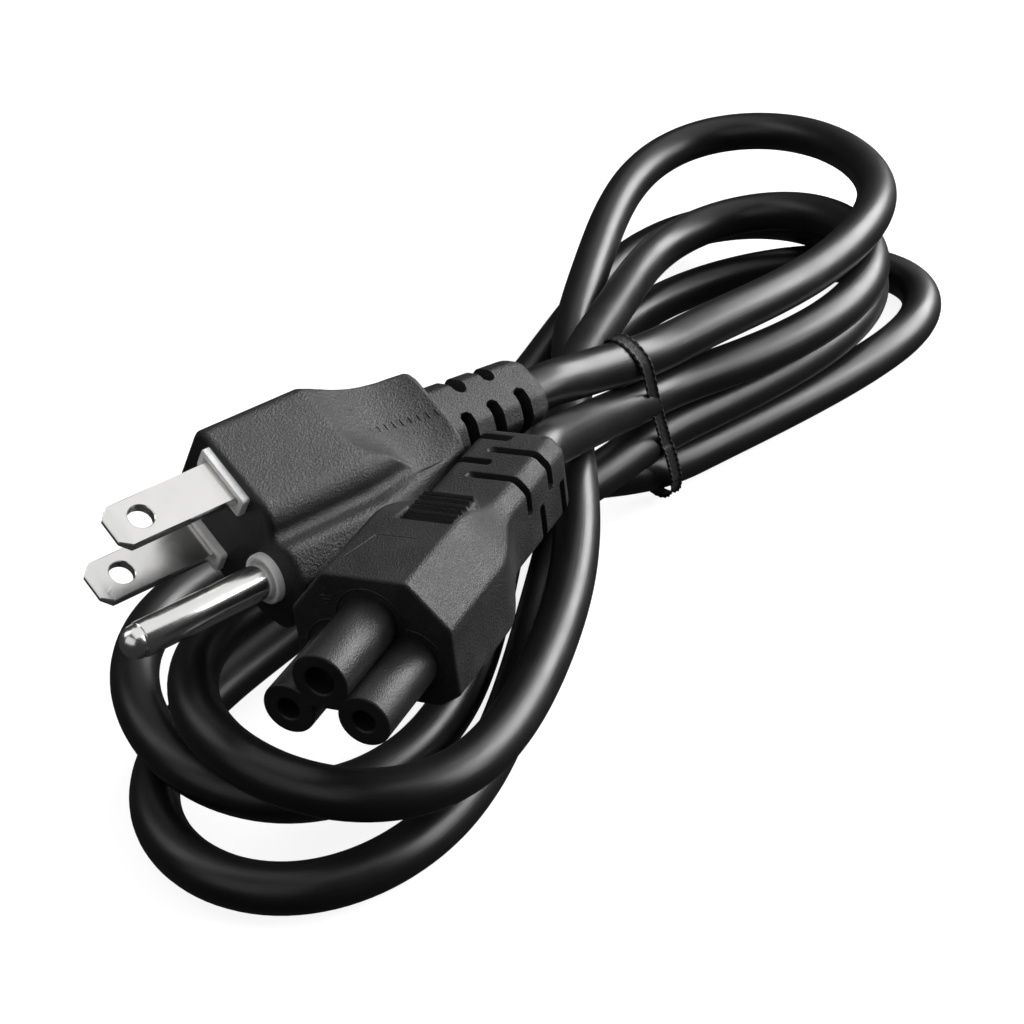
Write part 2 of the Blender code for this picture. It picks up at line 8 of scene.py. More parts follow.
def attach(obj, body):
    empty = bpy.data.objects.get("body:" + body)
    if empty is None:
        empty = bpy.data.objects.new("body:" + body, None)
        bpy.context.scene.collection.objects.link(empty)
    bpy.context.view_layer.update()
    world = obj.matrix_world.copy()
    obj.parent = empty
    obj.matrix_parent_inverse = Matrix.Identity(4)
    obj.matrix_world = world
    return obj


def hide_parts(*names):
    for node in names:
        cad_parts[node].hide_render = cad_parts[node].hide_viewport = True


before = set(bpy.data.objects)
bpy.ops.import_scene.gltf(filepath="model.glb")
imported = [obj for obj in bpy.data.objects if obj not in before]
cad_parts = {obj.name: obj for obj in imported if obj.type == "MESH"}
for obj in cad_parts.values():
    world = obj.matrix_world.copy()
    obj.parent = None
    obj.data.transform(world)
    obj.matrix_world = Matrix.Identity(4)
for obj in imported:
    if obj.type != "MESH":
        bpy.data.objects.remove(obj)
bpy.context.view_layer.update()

print("model loaded")

# where the plug and the connector lie, and where the cord leaves each of them

plugPlace = {"origin": (-0.02344, -0.06626, 0.03858), "forward": (-0.441, -0.894, 0.083),
             "up": (0.760, -0.421, -0.495)}
connectorPlace = {"origin": (0.00546, -0.09707, 0.03443), "forward": (-0.0637, -0.9964, 0.0552),
                  "up": (-0.0530, 0.0586, 0.9969)}
plugCord = {"end": -0.0522, "height": 0.0042}       # end of the strain relief, and the cord's height in it
connectorCord = {"end": -0.0589, "height": 0.0005}


# Columns x forward, z as near to up as a right angle allows, y = up cross x.
def axesOf(place):
    x = np.array(place["forward"]) / np.linalg.norm(place["forward"])
    y = np.cross(place["up"], x)
    y /= np.linalg.norm(y)
    return np.column_stack((x, y, np.cross(x, y)))


# Local point times the axes, plus the origin.
def toWorld(points, place):
    return np.asarray(points) @ axesOf(place).T + np.array(place["origin"])


# The same for a grid of rings.
def placeRings(rings, place):
    return toWorld(rings.reshape(-1, 3), place).reshape(rings.shape)


# meshes from arrays

# Between 0 and 1, with a soft start and end.
def ease(value):
    value = np.clip(value, 0.0, 1.0)
    return value * value * (3.0 - 2.0 * value)


# Smaller of two values, rounded over the width where they meet.
def softMin(a, b, width):
    h = np.clip(0.5 + 0.5 * (b - a) / width, 0.0, 1.0)
    return b + (a - b) * h - width * h * (1.0 - h)


# Quad (i, j), (i, j+1), (i+1, j+1), (i+1, j) for each cell of a grid of rings, closed around.
def ringQuads(rings, around):
    i = np.arange(rings - 1)[:, None] * around
    j = np.arange(around)[None]
    k = (j + 1) % around
    return np.stack((i + j, i + k, i + k + around, i + j + around), axis=-1).reshape(-1, 4)


# Six times the volume is the sum over the triangles of a . (b x c); faces are turned when it is negative.
def outward(points, quads):
    a, b, c, d = (points[quads[:, n]] for n in range(4))
    volume = (a * np.cross(b, c)).sum() + (a * np.cross(c, d)).sum()
    return quads[:, ::-1] if volume < 0 else quads


# Gives a mesh its material and smooth faces, with edges kept sharp above an angle in degrees.
def finishMesh(mesh, shade, sharp):
    mesh.materials.append(shade)
    mesh.validate()
    mesh.update()
    mesh.shade_smooth()
    if sharp:
        mesh.set_sharp_from_angle(angle=math.radians(sharp))


# Object of a mesh, joined to the root body, with the CAD nodes that it stands for hidden.
def addPiece(name, mesh, replaced=()):
    piece = bpy.data.objects.new(name, mesh)
    bpy.context.scene.collection.objects.link(piece)
    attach(piece, "root")
    if replaced:
        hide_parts(*replaced)
    return piece


# Rings (n, m, 3) joined by quads; each end ring is closed by a fan to its middle unless the stack is a loop.
def skinMesh(name, rings, shade, sharp=None, loop=False):
    count, around = rings.shape[:2]
    points = rings.reshape(-1, 3)
    if loop:
        quads = ringQuads(count + 1, around) % (count * around)
        faces = outward(points, quads).tolist()
    else:
        points = np.vstack((points, rings[0].mean(axis=0), rings[-1].mean(axis=0)))
        quads = ringQuads(count, around)
        j = np.arange(around)
        k = (j + 1) % around
        last = (count - 1) * around
        first = count * around
        fans = np.vstack((np.stack((k, j, j * 0 + first, j * 0 + first), axis=-1),
                          np.stack((last + j, last + k, j * 0 + first + 1, j * 0 + first + 1), axis=-1)))
        turned = outward(points, np.vstack((quads, fans)))
        faces = turned[:len(quads)].tolist() + [list(dict.fromkeys(f)) for f in turned[len(quads):].tolist()]
    mesh = bpy.data.meshes.new(name)
    mesh.from_pydata(points.tolist(), [], faces)
    finishMesh(mesh, shade, sharp)
    return mesh


# Outline through corners, each an arc of its own radius, with the straight sides cut into pieces.
def roundedOutline(corners, radii, arcSteps, sideSteps):
    corners = np.array(corners, float)
    count = len(corners)
    arcs = []
    for n in range(count):
        before = corners[n - 1] - corners[n]
        after = corners[(n + 1) % count] - corners[n]
        before, after = before / np.linalg.norm(before), after / np.linalg.norm(after)
        half = math.acos(np.clip(before @ after, -1, 1)) / 2
        bisector = (before + after) / max(np.linalg.norm(before + after), 1e-9)
        centre = corners[n] + bisector * radii[n] / math.sin(half)
        start = corners[n] + before * radii[n] / math.tan(half) - centre
        end = corners[n] + after * radii[n] / math.tan(half) - centre
        sweep = max(math.pi - 2 * half, 1e-4)
        share = np.linspace(0, 1, arcSteps + 1)[:, None]
        swing = start * np.sin((1 - share) * sweep) + end * np.sin(share * sweep)
        arcs.append(centre + swing / math.sin(sweep))
    points = []
    for n in range(count):
        points.append(arcs[n])
        share = np.linspace(0, 1, sideSteps[n] + 1)[1:-1, None]
        points.append(arcs[n][-1] * (1 - share) + arcs[(n + 1) % count][0] * share)
    return np.vstack(points)


# Point (x, r cos a, r sin a) for each profile point (x, r), a going round the axis at (y, z).
def turnedRings(profile, around, y=0.0, z=0.0):
    angle = np.linspace(0, 2 * math.pi, around, endpoint=False)
    profile = np.array(profile)
    x = np.repeat(profile[:, :1], around, axis=1)
    return np.stack((x, y + profile[:, 1:] * np.cos(angle), z + profile[:, 1:] * np.sin(angle)), axis=-1)


# shader groups

def newGroup(name, inputs, outputs):
    group = bpy.data.node_groups.new(name, "ShaderNodeTree")
    for label, kind, value in inputs:
        socket = group.interface.new_socket(label, in_out="INPUT", socket_type=kind)
        if value is not None:
            socket.default_value = value
    for label, kind in outputs:
        group.interface.new_socket(label, in_out="OUTPUT", socket_type=kind)
    return group, group.nodes.new("NodeGroupInput"), group.nodes.new("NodeGroupOutput")


# Adds a node, with its settings, and joins or sets its inputs by name or number.
def addNode(tree, kind, settings=None, **inputs):
    node = tree.nodes.new(kind)
    for key, value in (settings or {}).items():
        setattr(node, key, value)
    for key, value in inputs.items():
        socket = node.inputs[int(key[1:])] if key[1:].isdigit() else node.inputs[key.replace("_", " ")]
        if isinstance(value, bpy.types.NodeSocket):
            tree.links.new(value, socket)
        else:
            socket.default_value = value
    return node


# Operation on one, two or three numbers.
def addMath(tree, operation, *values, clamp=False):
    inputs = {"i" + str(n): value for n, value in enumerate(values)}
    return addNode(tree, "ShaderNodeMath", {"operation": operation, "use_clamp": clamp}, **inputs).outputs[0]


# Straight map from one range to another, held inside it.
def addRange(tree, value, low, high, toLow, toHigh):
    node = addNode(tree, "ShaderNodeMapRange", Value=value, i1=low, i2=high, i3=toLow, i4=toHigh)
    return node.outputs["Result"]


# Mix of two colours by a factor.
def addMix(tree, factor, first, second):
    return addNode(tree, "ShaderNodeMix", {"data_type": "RGBA"}, Factor=factor, i6=first, i7=second).outputs[2]


# Moulded skin: crossed fine noises give the grain's height; a few bright specks sit on the colour.
def makeMouldedGrain():
    group, given, result = newGroup("MouldedGrain", [
        ("Color", "NodeSocketColor", (0.02, 0.02, 0.02, 1)), ("Grain Scale", "NodeSocketFloat", 2500.0),
        ("Stretch", "NodeSocketFloat", 1.6), ("Grain Depth", "NodeSocketFloat", 0.5),
        ("Roughness", "NodeSocketFloat", 0.45), ("Specks", "NodeSocketFloat", 0.3)],
        [("Color", "NodeSocketColor"), ("Roughness", "NodeSocketFloat"), ("Normal", "NodeSocketVector")])
    where = addNode(group, "ShaderNodeTexCoord").outputs["Object"]
    turned = addNode(group, "ShaderNodeMapping", Vector=where, Rotation=(0.4, 0.3, 0.5), Scale=(1.0, 0.62, 1.0))
    fineness = given.outputs["Grain Scale"]
    coarse = addNode(group, "ShaderNodeTexNoise", Vector=turned.outputs[0], Scale=fineness, Detail=3.0,
                     Roughness=0.62, Distortion=given.outputs["Stretch"])
    cells = addNode(group, "ShaderNodeTexVoronoi", {"feature": "SMOOTH_F1"}, Vector=turned.outputs[0],
                    Scale=fineness, Smoothness=0.6)
    height = addMath(group, "MULTIPLY_ADD", cells.outputs["Distance"], 0.7, coarse.outputs["Fac"])
    bump = addNode(group, "ShaderNodeBump", Strength=given.outputs["Grain Depth"], Distance=0.00022,
                   Height=height)
    patches = addNode(group, "ShaderNodeTexNoise", Vector=where, Scale=180.0, Detail=4.0, Roughness=0.6)
    wear = addRange(group, patches.outputs["Fac"], 0.3, 0.75, -0.07, 0.09)
    rough = addMath(group, "ADD", given.outputs["Roughness"], wear)
    fine = addMath(group, "MULTIPLY_ADD", coarse.outputs["Fac"], 0.12, rough, clamp=True)
    dots = addNode(group, "ShaderNodeTexVoronoi", Vector=where, Scale=1400.0)
    dotMask = addRange(group, dots.outputs["Distance"], 0.16, 0.05, 0.0, 1.0)
    rare = addMath(group, "GREATER_THAN", dots.outputs["Color"], 0.86)
    speck = addMath(group, "MULTIPLY", dotMask, rare)
    amount = addMath(group, "MULTIPLY", speck, given.outputs["Specks"])
    tone = addRange(group, patches.outputs["Fac"], 0.25, 0.8, 0.75, 1.3)
    base = addNode(group, "ShaderNodeVectorMath", {"operation": "SCALE"}, i0=given.outputs["Color"], Scale=tone)
    group.links.new(addMix(group, amount, base.outputs[0], (0.35, 0.35, 0.36, 1)), result.inputs["Color"])
    group.links.new(fine, result.inputs["Roughness"])
    group.links.new(bump.outputs["Normal"], result.inputs["Normal"])
    return group


# Metal skin: long scratches stretched along one direction, tarnish clouds in colour and roughness.
def makeMetalSkin():
    group, given, result = newGroup("MetalSkin", [
        ("Color", "NodeSocketColor", (0.7, 0.7, 0.7, 1)), ("Roughness", "NodeSocketFloat", 0.25),
        ("Scratch Depth", "NodeSocketFloat", 0.2), ("Turn", "NodeSocketVector", (0, 0, 0)),
        ("Tarnish", "NodeSocketFloat", 0.2)],
        [("Color", "NodeSocketColor"), ("Roughness", "NodeSocketFloat"), ("Normal", "NodeSocketVector")])
    where = addNode(group, "ShaderNodeTexCoord").outputs["Object"]
    along = addNode(group, "ShaderNodeMapping", Vector=where, Rotation=given.outputs["Turn"],
                    Scale=(60.0, 2400.0, 2400.0))
    lines = addNode(group, "ShaderNodeTexNoise", Vector=along.outputs[0], Scale=1.0, Detail=2.0, Roughness=0.7)
    clouds = addNode(group, "ShaderNodeTexNoise", Vector=where, Scale=420.0, Detail=5.0, Roughness=0.6)
    pits = addNode(group, "ShaderNodeTexNoise", Vector=where, Scale=2600.0, Detail=2.0)
    height = addMath(group, "MULTIPLY_ADD", pits.outputs["Fac"], 0.35, lines.outputs["Fac"])
    bump = addNode(group, "ShaderNodeBump", Strength=given.outputs["Scratch Depth"], Distance=0.00006,
                   Height=height)
    dull = addRange(group, clouds.outputs["Fac"], 0.35, 0.7, -0.02, 0.04)
    rough = addMath(group, "ADD", given.outputs["Roughness"], dull, clamp=True)
    dark = addRange(group, clouds.outputs["Fac"], 0.45, 0.75, 0.0, 1.0)
    amount = addMath(group, "MULTIPLY", dark, given.outputs["Tarnish"])
    colour = addMix(group, amount, given.outputs["Color"], (0.42, 0.40, 0.37, 1))
    group.links.new(colour, result.inputs["Color"])
    group.links.new(rough, result.inputs["Roughness"])
    group.links.new(bump.outputs["Normal"], result.inputs["Normal"])
    return group


# Material whose Principled shader takes colour, roughness and normal from a placed group.
def groupMaterial(name, group, values, fixed):
    shade = bpy.data.materials.new(name)
    shade.use_nodes = True
    tree = shade.node_tree
    surface = tree.nodes["Principled BSDF"]
    placed = tree.nodes.new("ShaderNodeGroup")
    placed.node_tree = group
    for key, value in values.items():
        placed.inputs[key].default_value = value
    tree.links.new(placed.outputs["Color"], surface.inputs["Base Color"])
    tree.links.new(placed.outputs["Roughness"], surface.inputs["Roughness"])
    tree.links.new(placed.outputs["Normal"], surface.inputs["Normal"])
    for key, value in fixed.items():
        surface.inputs[key].default_value = value
    return shade


mouldedGrain = makeMouldedGrain()
metalSkin = makeMetalSkin()
bladeTurn = Matrix(axesOf(plugPlace)).transposed().to_euler()

plugSkin = groupMaterial("plug leather grain", mouldedGrain, {
    "Color": (0.010, 0.010, 0.0105, 1), "Grain Scale": 3900.0, "Stretch": 2.2, "Grain Depth": 0.48,
    "Roughness": 0.36, "Specks": 0.08}, {"Specular IOR Level": 0.42})
connectorSkin = groupMaterial("connector fine grain", mouldedGrain, {
    "Color": (0.013, 0.013, 0.0135, 1), "Grain Scale": 4600.0, "Stretch": 0.8, "Grain Depth": 0.46,
    "Roughness": 0.42, "Specks": 0.30}, {"Specular IOR Level": 0.42})
noseSkin = groupMaterial("nose matt black", mouldedGrain, {
    "Color": (0.011, 0.011, 0.0115, 1), "Grain Scale": 5600.0, "Stretch": 0.6, "Grain Depth": 0.22,
    "Roughness": 0.36, "Specks": 0.20}, {"Specular IOR Level": 0.42})
tieSkin = groupMaterial("tie ribbed black", mouldedGrain, {
    "Color": (0.016, 0.016, 0.0165, 1), "Grain Scale": 3800.0, "Stretch": 1.0, "Grain Depth": 0.5,
    "Roughness": 0.52, "Specks": 0.1}, {"Specular IOR Level": 0.4})
insertSkin = groupMaterial("insert white plastic", mouldedGrain, {
    "Color": (0.95, 0.95, 0.94, 1), "Grain Scale": 3000.0, "Stretch": 0.5, "Grain Depth": 0.12,
    "Roughness": 0.30, "Specks": 0.0}, {"Subsurface Weight": 0.15, "Subsurface Scale": 0.001})
bladeSkin = groupMaterial("blade nickel", metalSkin, {
    "Color": (0.88, 0.875, 0.86, 1), "Roughness": 0.22, "Scratch Depth": 0.05, "Turn": tuple(bladeTurn),
    "Tarnish": 0.06}, {"Metallic": 1.0})
pinSkin = groupMaterial("pin polished nickel", metalSkin, {
    "Color": (0.90, 0.895, 0.88, 1), "Roughness": 0.21, "Scratch Depth": 0.02, "Turn": tuple(bladeTurn),
    "Tarnish": 0.04}, {"Metallic": 1.0})
contactSkin = groupMaterial("contact tinned brass", metalSkin, {
    "Color": (0.74, 0.70, 0.62, 1), "Roughness": 0.30, "Scratch Depth": 0.25, "Turn": tuple(bladeTurn),
    "Tarnish": 0.4}, {"Metallic": 1.0})


# Cord jacket: drawing lines run along it from the UV map, soft clouds vary its gloss.
def makeJacket():
    shade = bpy.data.materials.new("cord satin jacket")
    shade.use_nodes = True
    tree = shade.node_tree
    surface = tree.nodes["Principled BSDF"]
    where = addNode(tree, "ShaderNodeTexCoord")
    along = addNode(tree, "ShaderNodeMapping", Vector=where.outputs["UV"], Scale=(46.0, 14.0, 1.0))
    lines = addNode(tree, "ShaderNodeTexNoise", Vector=along.outputs[0], Scale=1.0, Detail=3.0, Roughness=0.55)
    fine = addNode(tree, "ShaderNodeTexNoise", Vector=where.outputs["Object"], Scale=3200.0, Detail=3.0)
    height = addMath(tree, "MULTIPLY_ADD", fine.outputs["Fac"], 0.45, lines.outputs["Fac"])
    bump = addNode(tree, "ShaderNodeBump", Strength=0.14, Distance=0.00010, Height=height)
    clouds = addNode(tree, "ShaderNodeTexNoise", Vector=where.outputs["Object"], Scale=140.0, Detail=4.0)
    gloss = addRange(tree, clouds.outputs["Fac"], 0.3, 0.7, 0.32, 0.41)
    tone = addMix(tree, lines.outputs["Fac"], (0.0040, 0.0040, 0.0043, 1), (0.0100, 0.0100, 0.0104, 1))
    tree.links.new(tone, surface.inputs["Base Color"])
    tree.links.new(gloss, surface.inputs["Roughness"])
    tree.links.new(bump.outputs["Normal"], surface.inputs["Normal"])
    return shade


jacketSkin = makeJacket()
print("materials made")

# camera, floor and light

view = {"lens": 77.34, "clipStart": 0.01,
        "rows": ((0.9362, -0.1246, 0.3288, 0.10669),        # across, up, back and place, for x, y and z
                 (0.3407, 0.5520, -0.7611, -0.27094),
                 (-0.0867, 0.8245, 0.5592, 0.19476),
                 (0, 0, 0, 1))}
camera = bpy.data.objects.new("camera", bpy.data.cameras.new("camera"))
bpy.context.scene.collection.objects.link(camera)
camera.data.lens = view["lens"]
camera.data.clip_start = view["clipStart"]
camera.matrix_world = Matrix(view["rows"])
bpy.context.scene.camera = camera
bpy.context.scene.view_settings.view_transform = "Standard"

studio = {"world": 0.03, "floorColor": 0.30, "floorGlow": 0.88, "floorHalf": 6.0, "floorLevel": -0.0002,
          "lights": [  # name, direction from the object, distance, width, height, watts
              ("sky", (0.22, 0.30, 1.0), 1.3, 2.2, 2.2, 12.0),
              ("key", (0.62, 0.72, 0.48), 0.9, 0.80, 0.42, 14.0),
              ("side", (0.95, 0.10, 0.45), 0.9, 0.30, 0.60, 3.5),
              ("left", (-0.80, -0.10, 0.75), 1.0, 0.40, 0.60, 1.2),
              ("front", (-0.30, -0.85, 0.62), 1.2, 1.40, 0.80, 2.3)]}


# Even grey world, one glowing sheet of paper for a floor, and five soft lamps turned to the middle.
def makeStudio():
    world = bpy.data.worlds.new("studio")
    bpy.context.scene.world = world
    world.use_nodes = True
    background = world.node_tree.nodes["Background"]
    background.inputs["Color"].default_value = (1, 1, 1, 1)
    background.inputs["Strength"].default_value = studio["world"]
    mesh = bpy.data.meshes.new("floor")
    half, level = studio["floorHalf"], studio["floorLevel"]
    mesh.from_pydata([(-half, -half, level), (half, -half, level), (half, half, level), (-half, half, level)],
                     [], [(0, 1, 2, 3)])
    floor = bpy.data.objects.new("floor", mesh)
    bpy.context.scene.collection.objects.link(floor)
    paper = bpy.data.materials.new("white paper")
    paper.use_nodes = True
    surface = paper.node_tree.nodes["Principled BSDF"]
    tone = studio["floorColor"]
    surface.inputs["Base Color"].default_value = (tone, tone, tone, 1)
    surface.inputs["Roughness"].default_value = 1.0
    surface.inputs["Specular IOR Level"].default_value = 0.0
    surface.inputs["Emission Color"].default_value = (1, 1, 1, 1)
    surface.inputs["Emission Strength"].default_value = studio["floorGlow"]
    mesh.materials.append(paper)
    floor.visible_glossy = False
    floor.visible_diffuse = False
    for name, direction, distance, width, height, watts in studio["lights"]:
        lamp = bpy.data.lights.new(name, "AREA")
        lamp.shape = "RECTANGLE"
        lamp.size, lamp.size_y, lamp.energy = width, height, watts
        item = bpy.data.objects.new(name, lamp)
        item.visible_camera = False
        bpy.context.scene.collection.objects.link(item)
        back = np.array(direction) / np.linalg.norm(direction)
        side = np.cross((0, 0, 1), back)
        side /= np.linalg.norm(side)
        rise = np.cross(back, side)
        turn = np.column_stack((side, rise, back, back * distance))
        item.matrix_world = Matrix(np.vstack((turn, (0, 0, 0, 1))).tolist())


makeStudio()
print("studio set")

# cord

cordSize = {"diameter": 0.0068, "spacing": 0.0014, "around": 32, "tuck": 0.0040, "tuckSteps": 3, "lead": 0.005,
            "gap": 0.0003, "floorShare": 1.003, "coreSwell": 0.0025, "coreTurn": 0.055, "cores": 3,
            "uvPerMetre": 10}
settling = {"step": 0.005, "strandGap": 0.0005, "apart": 4, "smooth": 8, "rounds": 400, "push": 0.45,
            "spread": 3, "share": 0.25, "after": 2}
tieSize = {"place": (0.0148, 0.0047), "heading": math.radians(61.3), "pitch": 0.0071, "hold": 0.0055,
           "thickness": 0.0009, "strands": 4}


# Point of a strand in the tie: level counted from below, along measured from the tie.
def throughTie(level, along):
    height = tieSize["thickness"] + 2 * cordSize["gap"] + cordSize["diameter"] / 2 + level * tieSize["pitch"]
    return (tieSize["place"][0] + along * math.cos(tieSize["heading"]),
            tieSize["place"][1] + along * math.sin(tieSize["heading"]), height)


route = [
    throughTie(3, -0.002),
    throughTie(3, 0.008),
    (0.0273, 0.0262, 0.0230),
    (0.0343, 0.0442, 0.0210),
    (0.0368, 0.0617, 0.0200),
    (0.0293, 0.0812, 0.0190),
    (0.0153, 0.0957, 0.0175),
    (0.0018, 0.0992, 0.0165),
    (-0.0097, 0.0947, 0.0155),
    (-0.0147, 0.0807, 0.0145),
    (-0.0112, 0.0422, 0.0106),
    (-0.0092, 0.0282, 0.0109),
    (0.0013, 0.0022, 0.0042),
    (0.0078, -0.0318, 0.0034),
    (0.0123, -0.0603, 0.0034),
    (0.0128, -0.0723, 0.0034),
    (0.0108, -0.0838, 0.0034),
    (0.0048, -0.0933, 0.0034),
    (-0.0052, -0.0996, 0.0034),
    (-0.0172, -0.0978, 0.0034),
    (-0.0277, -0.0913, 0.0034),
    (-0.0337, -0.0793, 0.0034),
    (-0.0332, -0.0643, 0.0034),
    (-0.0267, -0.0498, 0.0034),
    (-0.0132, -0.0253, 0.0092),
    (-0.0047, -0.0163, 0.0106),
    throughTie(0, -0.005),
    throughTie(0, 0.006),
    (0.0313, 0.0327, 0.0034),
    (0.0448, 0.0587, 0.0034),
    (0.0458, 0.0687, 0.0034),
    (0.0398, 0.0777, 0.0034),
    (0.0288, 0.0812, 0.0034),
    (0.0178, 0.0782, 0.0034),
    (-0.0037, 0.0577, 0.0034),
    (-0.0077, 0.0202, 0.0034),
    (-0.0042, -0.0118, 0.0034),
    (0.0023, -0.0408, 0.0034),
    (0.0053, -0.0638, 0.0040),
    (0.0028, -0.0753, 0.0050),
    (-0.0027, -0.0848, 0.0060),
    (-0.0112, -0.0883, 0.0070),
    (-0.0212, -0.0878, 0.0080),
    (-0.0312, -0.0818, 0.0090),
    (-0.0392, -0.0728, 0.0102),
    (-0.0442, -0.0588, 0.0102),
    (-0.0377, -0.0368, 0.0080),
    (-0.0187, 0.0042, 0.0038),
    (-0.0157, 0.0487, 0.0034),
    (-0.0122, 0.0777, 0.0034),
    (-0.0022, 0.0862, 0.0045),
    (0.0123, 0.0837, 0.0075),
    (0.0258, 0.0757, 0.0103),
    (0.0363, 0.0617, 0.0107),
    (0.0373, 0.0477, 0.0108),
    (0.0238, 0.0187, 0.0113),
    throughTie(1, 0.004),
    (0.0100, -0.0046, 0.0118),
    (0.0068, -0.0126, 0.0106),
    (0.0010, -0.0222, 0.0106),
    (-0.0132, -0.0388, 0.0150),
    (-0.0292, -0.0628, 0.0175),
    (-0.0292, -0.0738, 0.0175),
    (-0.0222, -0.0848, 0.0170),
    (-0.0127, -0.0898, 0.0160),
    (-0.0017, -0.0918, 0.0150),
    (0.0088, -0.0893, 0.0135),
    (0.0153, -0.0823, 0.0120),
    (0.0168, -0.0593, 0.0110),
    (0.0138, -0.0293, 0.0130),
    (0.0082, -0.0155, 0.0174),
    (0.0040, -0.0062, 0.0180),
    (-0.0004, 0.0072, 0.0168),
    (-0.0027, 0.0437, 0.0120),
    (-0.0042, 0.0612, 0.0105),
    (0.0003, 0.0727, 0.0105),
    (0.0088, 0.0792, 0.0115),
    (0.0188, 0.0792, 0.0130),
    (0.0318, 0.0697, 0.0155),
    (0.0398, 0.0502, 0.0165),
    (0.0283, 0.0217, 0.0176),
    throughTie(2, 0.004),
    (0.0102, -0.0054, 0.0208),
    (0.0096, -0.0160, 0.0250),
    (0.0098, -0.0260, 0.0292),
]


# Points on the straight line out of a strain relief, the first at its end.
def cordEnd(place, end):
    away = [end["end"] - cordSize["gap"] - behind for behind in (0.0, cordSize["lead"])]
    return list(toWorld([(x, 0.0, end["height"]) for x in away], place))


curveSteps = 16     # points worked out between two knots


# Cubic curve whose knots stand apart by the root of the distance, then read at equal steps.
def smoothLine(points, spacing):
    knots = [2 * points[0] - points[1], *points, 2 * points[-1] - points[-2]]
    dense = []
    for a, b, c, d in zip(knots, knots[1:], knots[2:], knots[3:]):
        first = math.sqrt(np.linalg.norm(b - a))
        second = first + math.sqrt(np.linalg.norm(c - b))
        third = second + math.sqrt(np.linalg.norm(d - c))
        at = np.linspace(first, second, curveSteps, endpoint=False)[:, None]
        ab = ((first - at) * a + at * b) / first
        bc = ((second - at) * b + (at - first) * c) / (second - first)
        cd = ((third - at) * c + (at - second) * d) / (third - second)
        low = ((second - at) * ab + at * bc) / second
        high = ((third - at) * bc + (at - first) * cd) / (third - first)
        dense.append(((second - at) * low + (at - first) * high) / (second - first))
    dense.append(points[-1][None])
    return evenPoints(np.vstack(dense), spacing)


# Points at equal steps of the way along a line, between its own points.
def evenPoints(line, spacing):
    length = np.concatenate(([0.0], np.cumsum(np.linalg.norm(np.diff(line, axis=0), axis=1))))
    places = np.linspace(0.0, length[-1], int(round(length[-1] / spacing)) + 1)
    return np.stack([np.interp(places, length, line[:, axis]) for axis in range(3)], axis=1)


# Points in the tie go onto the straight middle line of their strand.
def holdInTie(line):
    ahead = np.array([math.cos(tieSize["heading"]), math.sin(tieSize["heading"])])
    away = line[:, :2] - tieSize["place"]
    along = away @ ahead
    across = away @ np.array([-ahead[1], ahead[0]])
    held = (np.abs(along) < tieSize["hold"]) & (np.abs(across) < cordSize["diameter"])
    lowest = throughTie(0, 0.0)[2]
    level = np.round((line[held, 2] - lowest) / tieSize["pitch"])
    line[held, :2] = np.array(tieSize["place"]) + along[held, None] * ahead
    line[held, 2] = lowest + level * tieSize["pitch"]


# Each round pushes strands apart that are closer than a diameter, keeps them on the floor and spreads the
# push to the neighbours along the cord.
def settle(line):
    share = settling["share"]
    for _ in range(settling["smooth"]):
        line[2:-2] += share * (line[1:-3] + line[3:-1] - 2 * line[2:-2])
    holdInTie(line)
    least = cordSize["diameter"] + settling["strandGap"]
    order = np.arange(len(line))
    apart = np.abs(order[:, None] - order[None]) * settling["step"] > settling["apart"] * least
    free = np.ones((len(line), 1))
    free[:3] = free[-3:] = 0.0
    moved = line.copy()
    for _ in range(settling["rounds"]):
        between = moved[:, None] - moved[None]
        distance = np.linalg.norm(between, axis=2) + 1e-9
        lack = np.where(apart & (distance < least), least - distance, 0.0)
        push = (between / distance[..., None] * lack[..., None]).sum(axis=1) * settling["push"]
        moved += push / np.maximum(1, (lack > 0).sum(axis=1))[:, None] * free
        moved[:, 2] = np.maximum(moved[:, 2], cordSize["diameter"] / 2)
        holdInTie(moved)
        shift = moved - line
        for _ in range(settling["spread"]):
            shift[1:-1] += share * (shift[:-2] + shift[2:] - 2 * shift[1:-1]) * free[1:-1]
        moved = line + shift
        holdInTie(moved)
    return moved


# Ring at each point of the line, its two directions carried along without twist; its radius swells by a wave
# round the ring that turns with the way along, as the cores inside do.
def tubeRings(line, radius, around):
    ahead = np.gradient(line, axis=0)
    ahead /= np.linalg.norm(ahead, axis=1)[:, None]
    side = np.zeros_like(line)
    start = np.cross(ahead[0], (0.0, 0.0, 1.0))
    side[0] = start / np.linalg.norm(start)
    for n in range(1, len(line)):
        carried = side[n - 1] - ahead[n] * (side[n - 1] @ ahead[n])
        side[n] = carried / np.linalg.norm(carried)
    other = np.cross(ahead, side)
    angle = np.linspace(0, 2 * math.pi, around, endpoint=False)
    reach = np.arange(len(line)) * np.linalg.norm(line[1] - line[0])
    wave = np.cos(cordSize["cores"] * angle[None] - reach[:, None] * 2 * math.pi / cordSize["coreTurn"])
    swell = 1.0 + cordSize["coreSwell"] * wave
    offset = side[:, None] * np.cos(angle)[None, :, None] + other[:, None] * np.sin(angle)[None, :, None]
    return line[:, None] + offset * radius * swell[..., None]


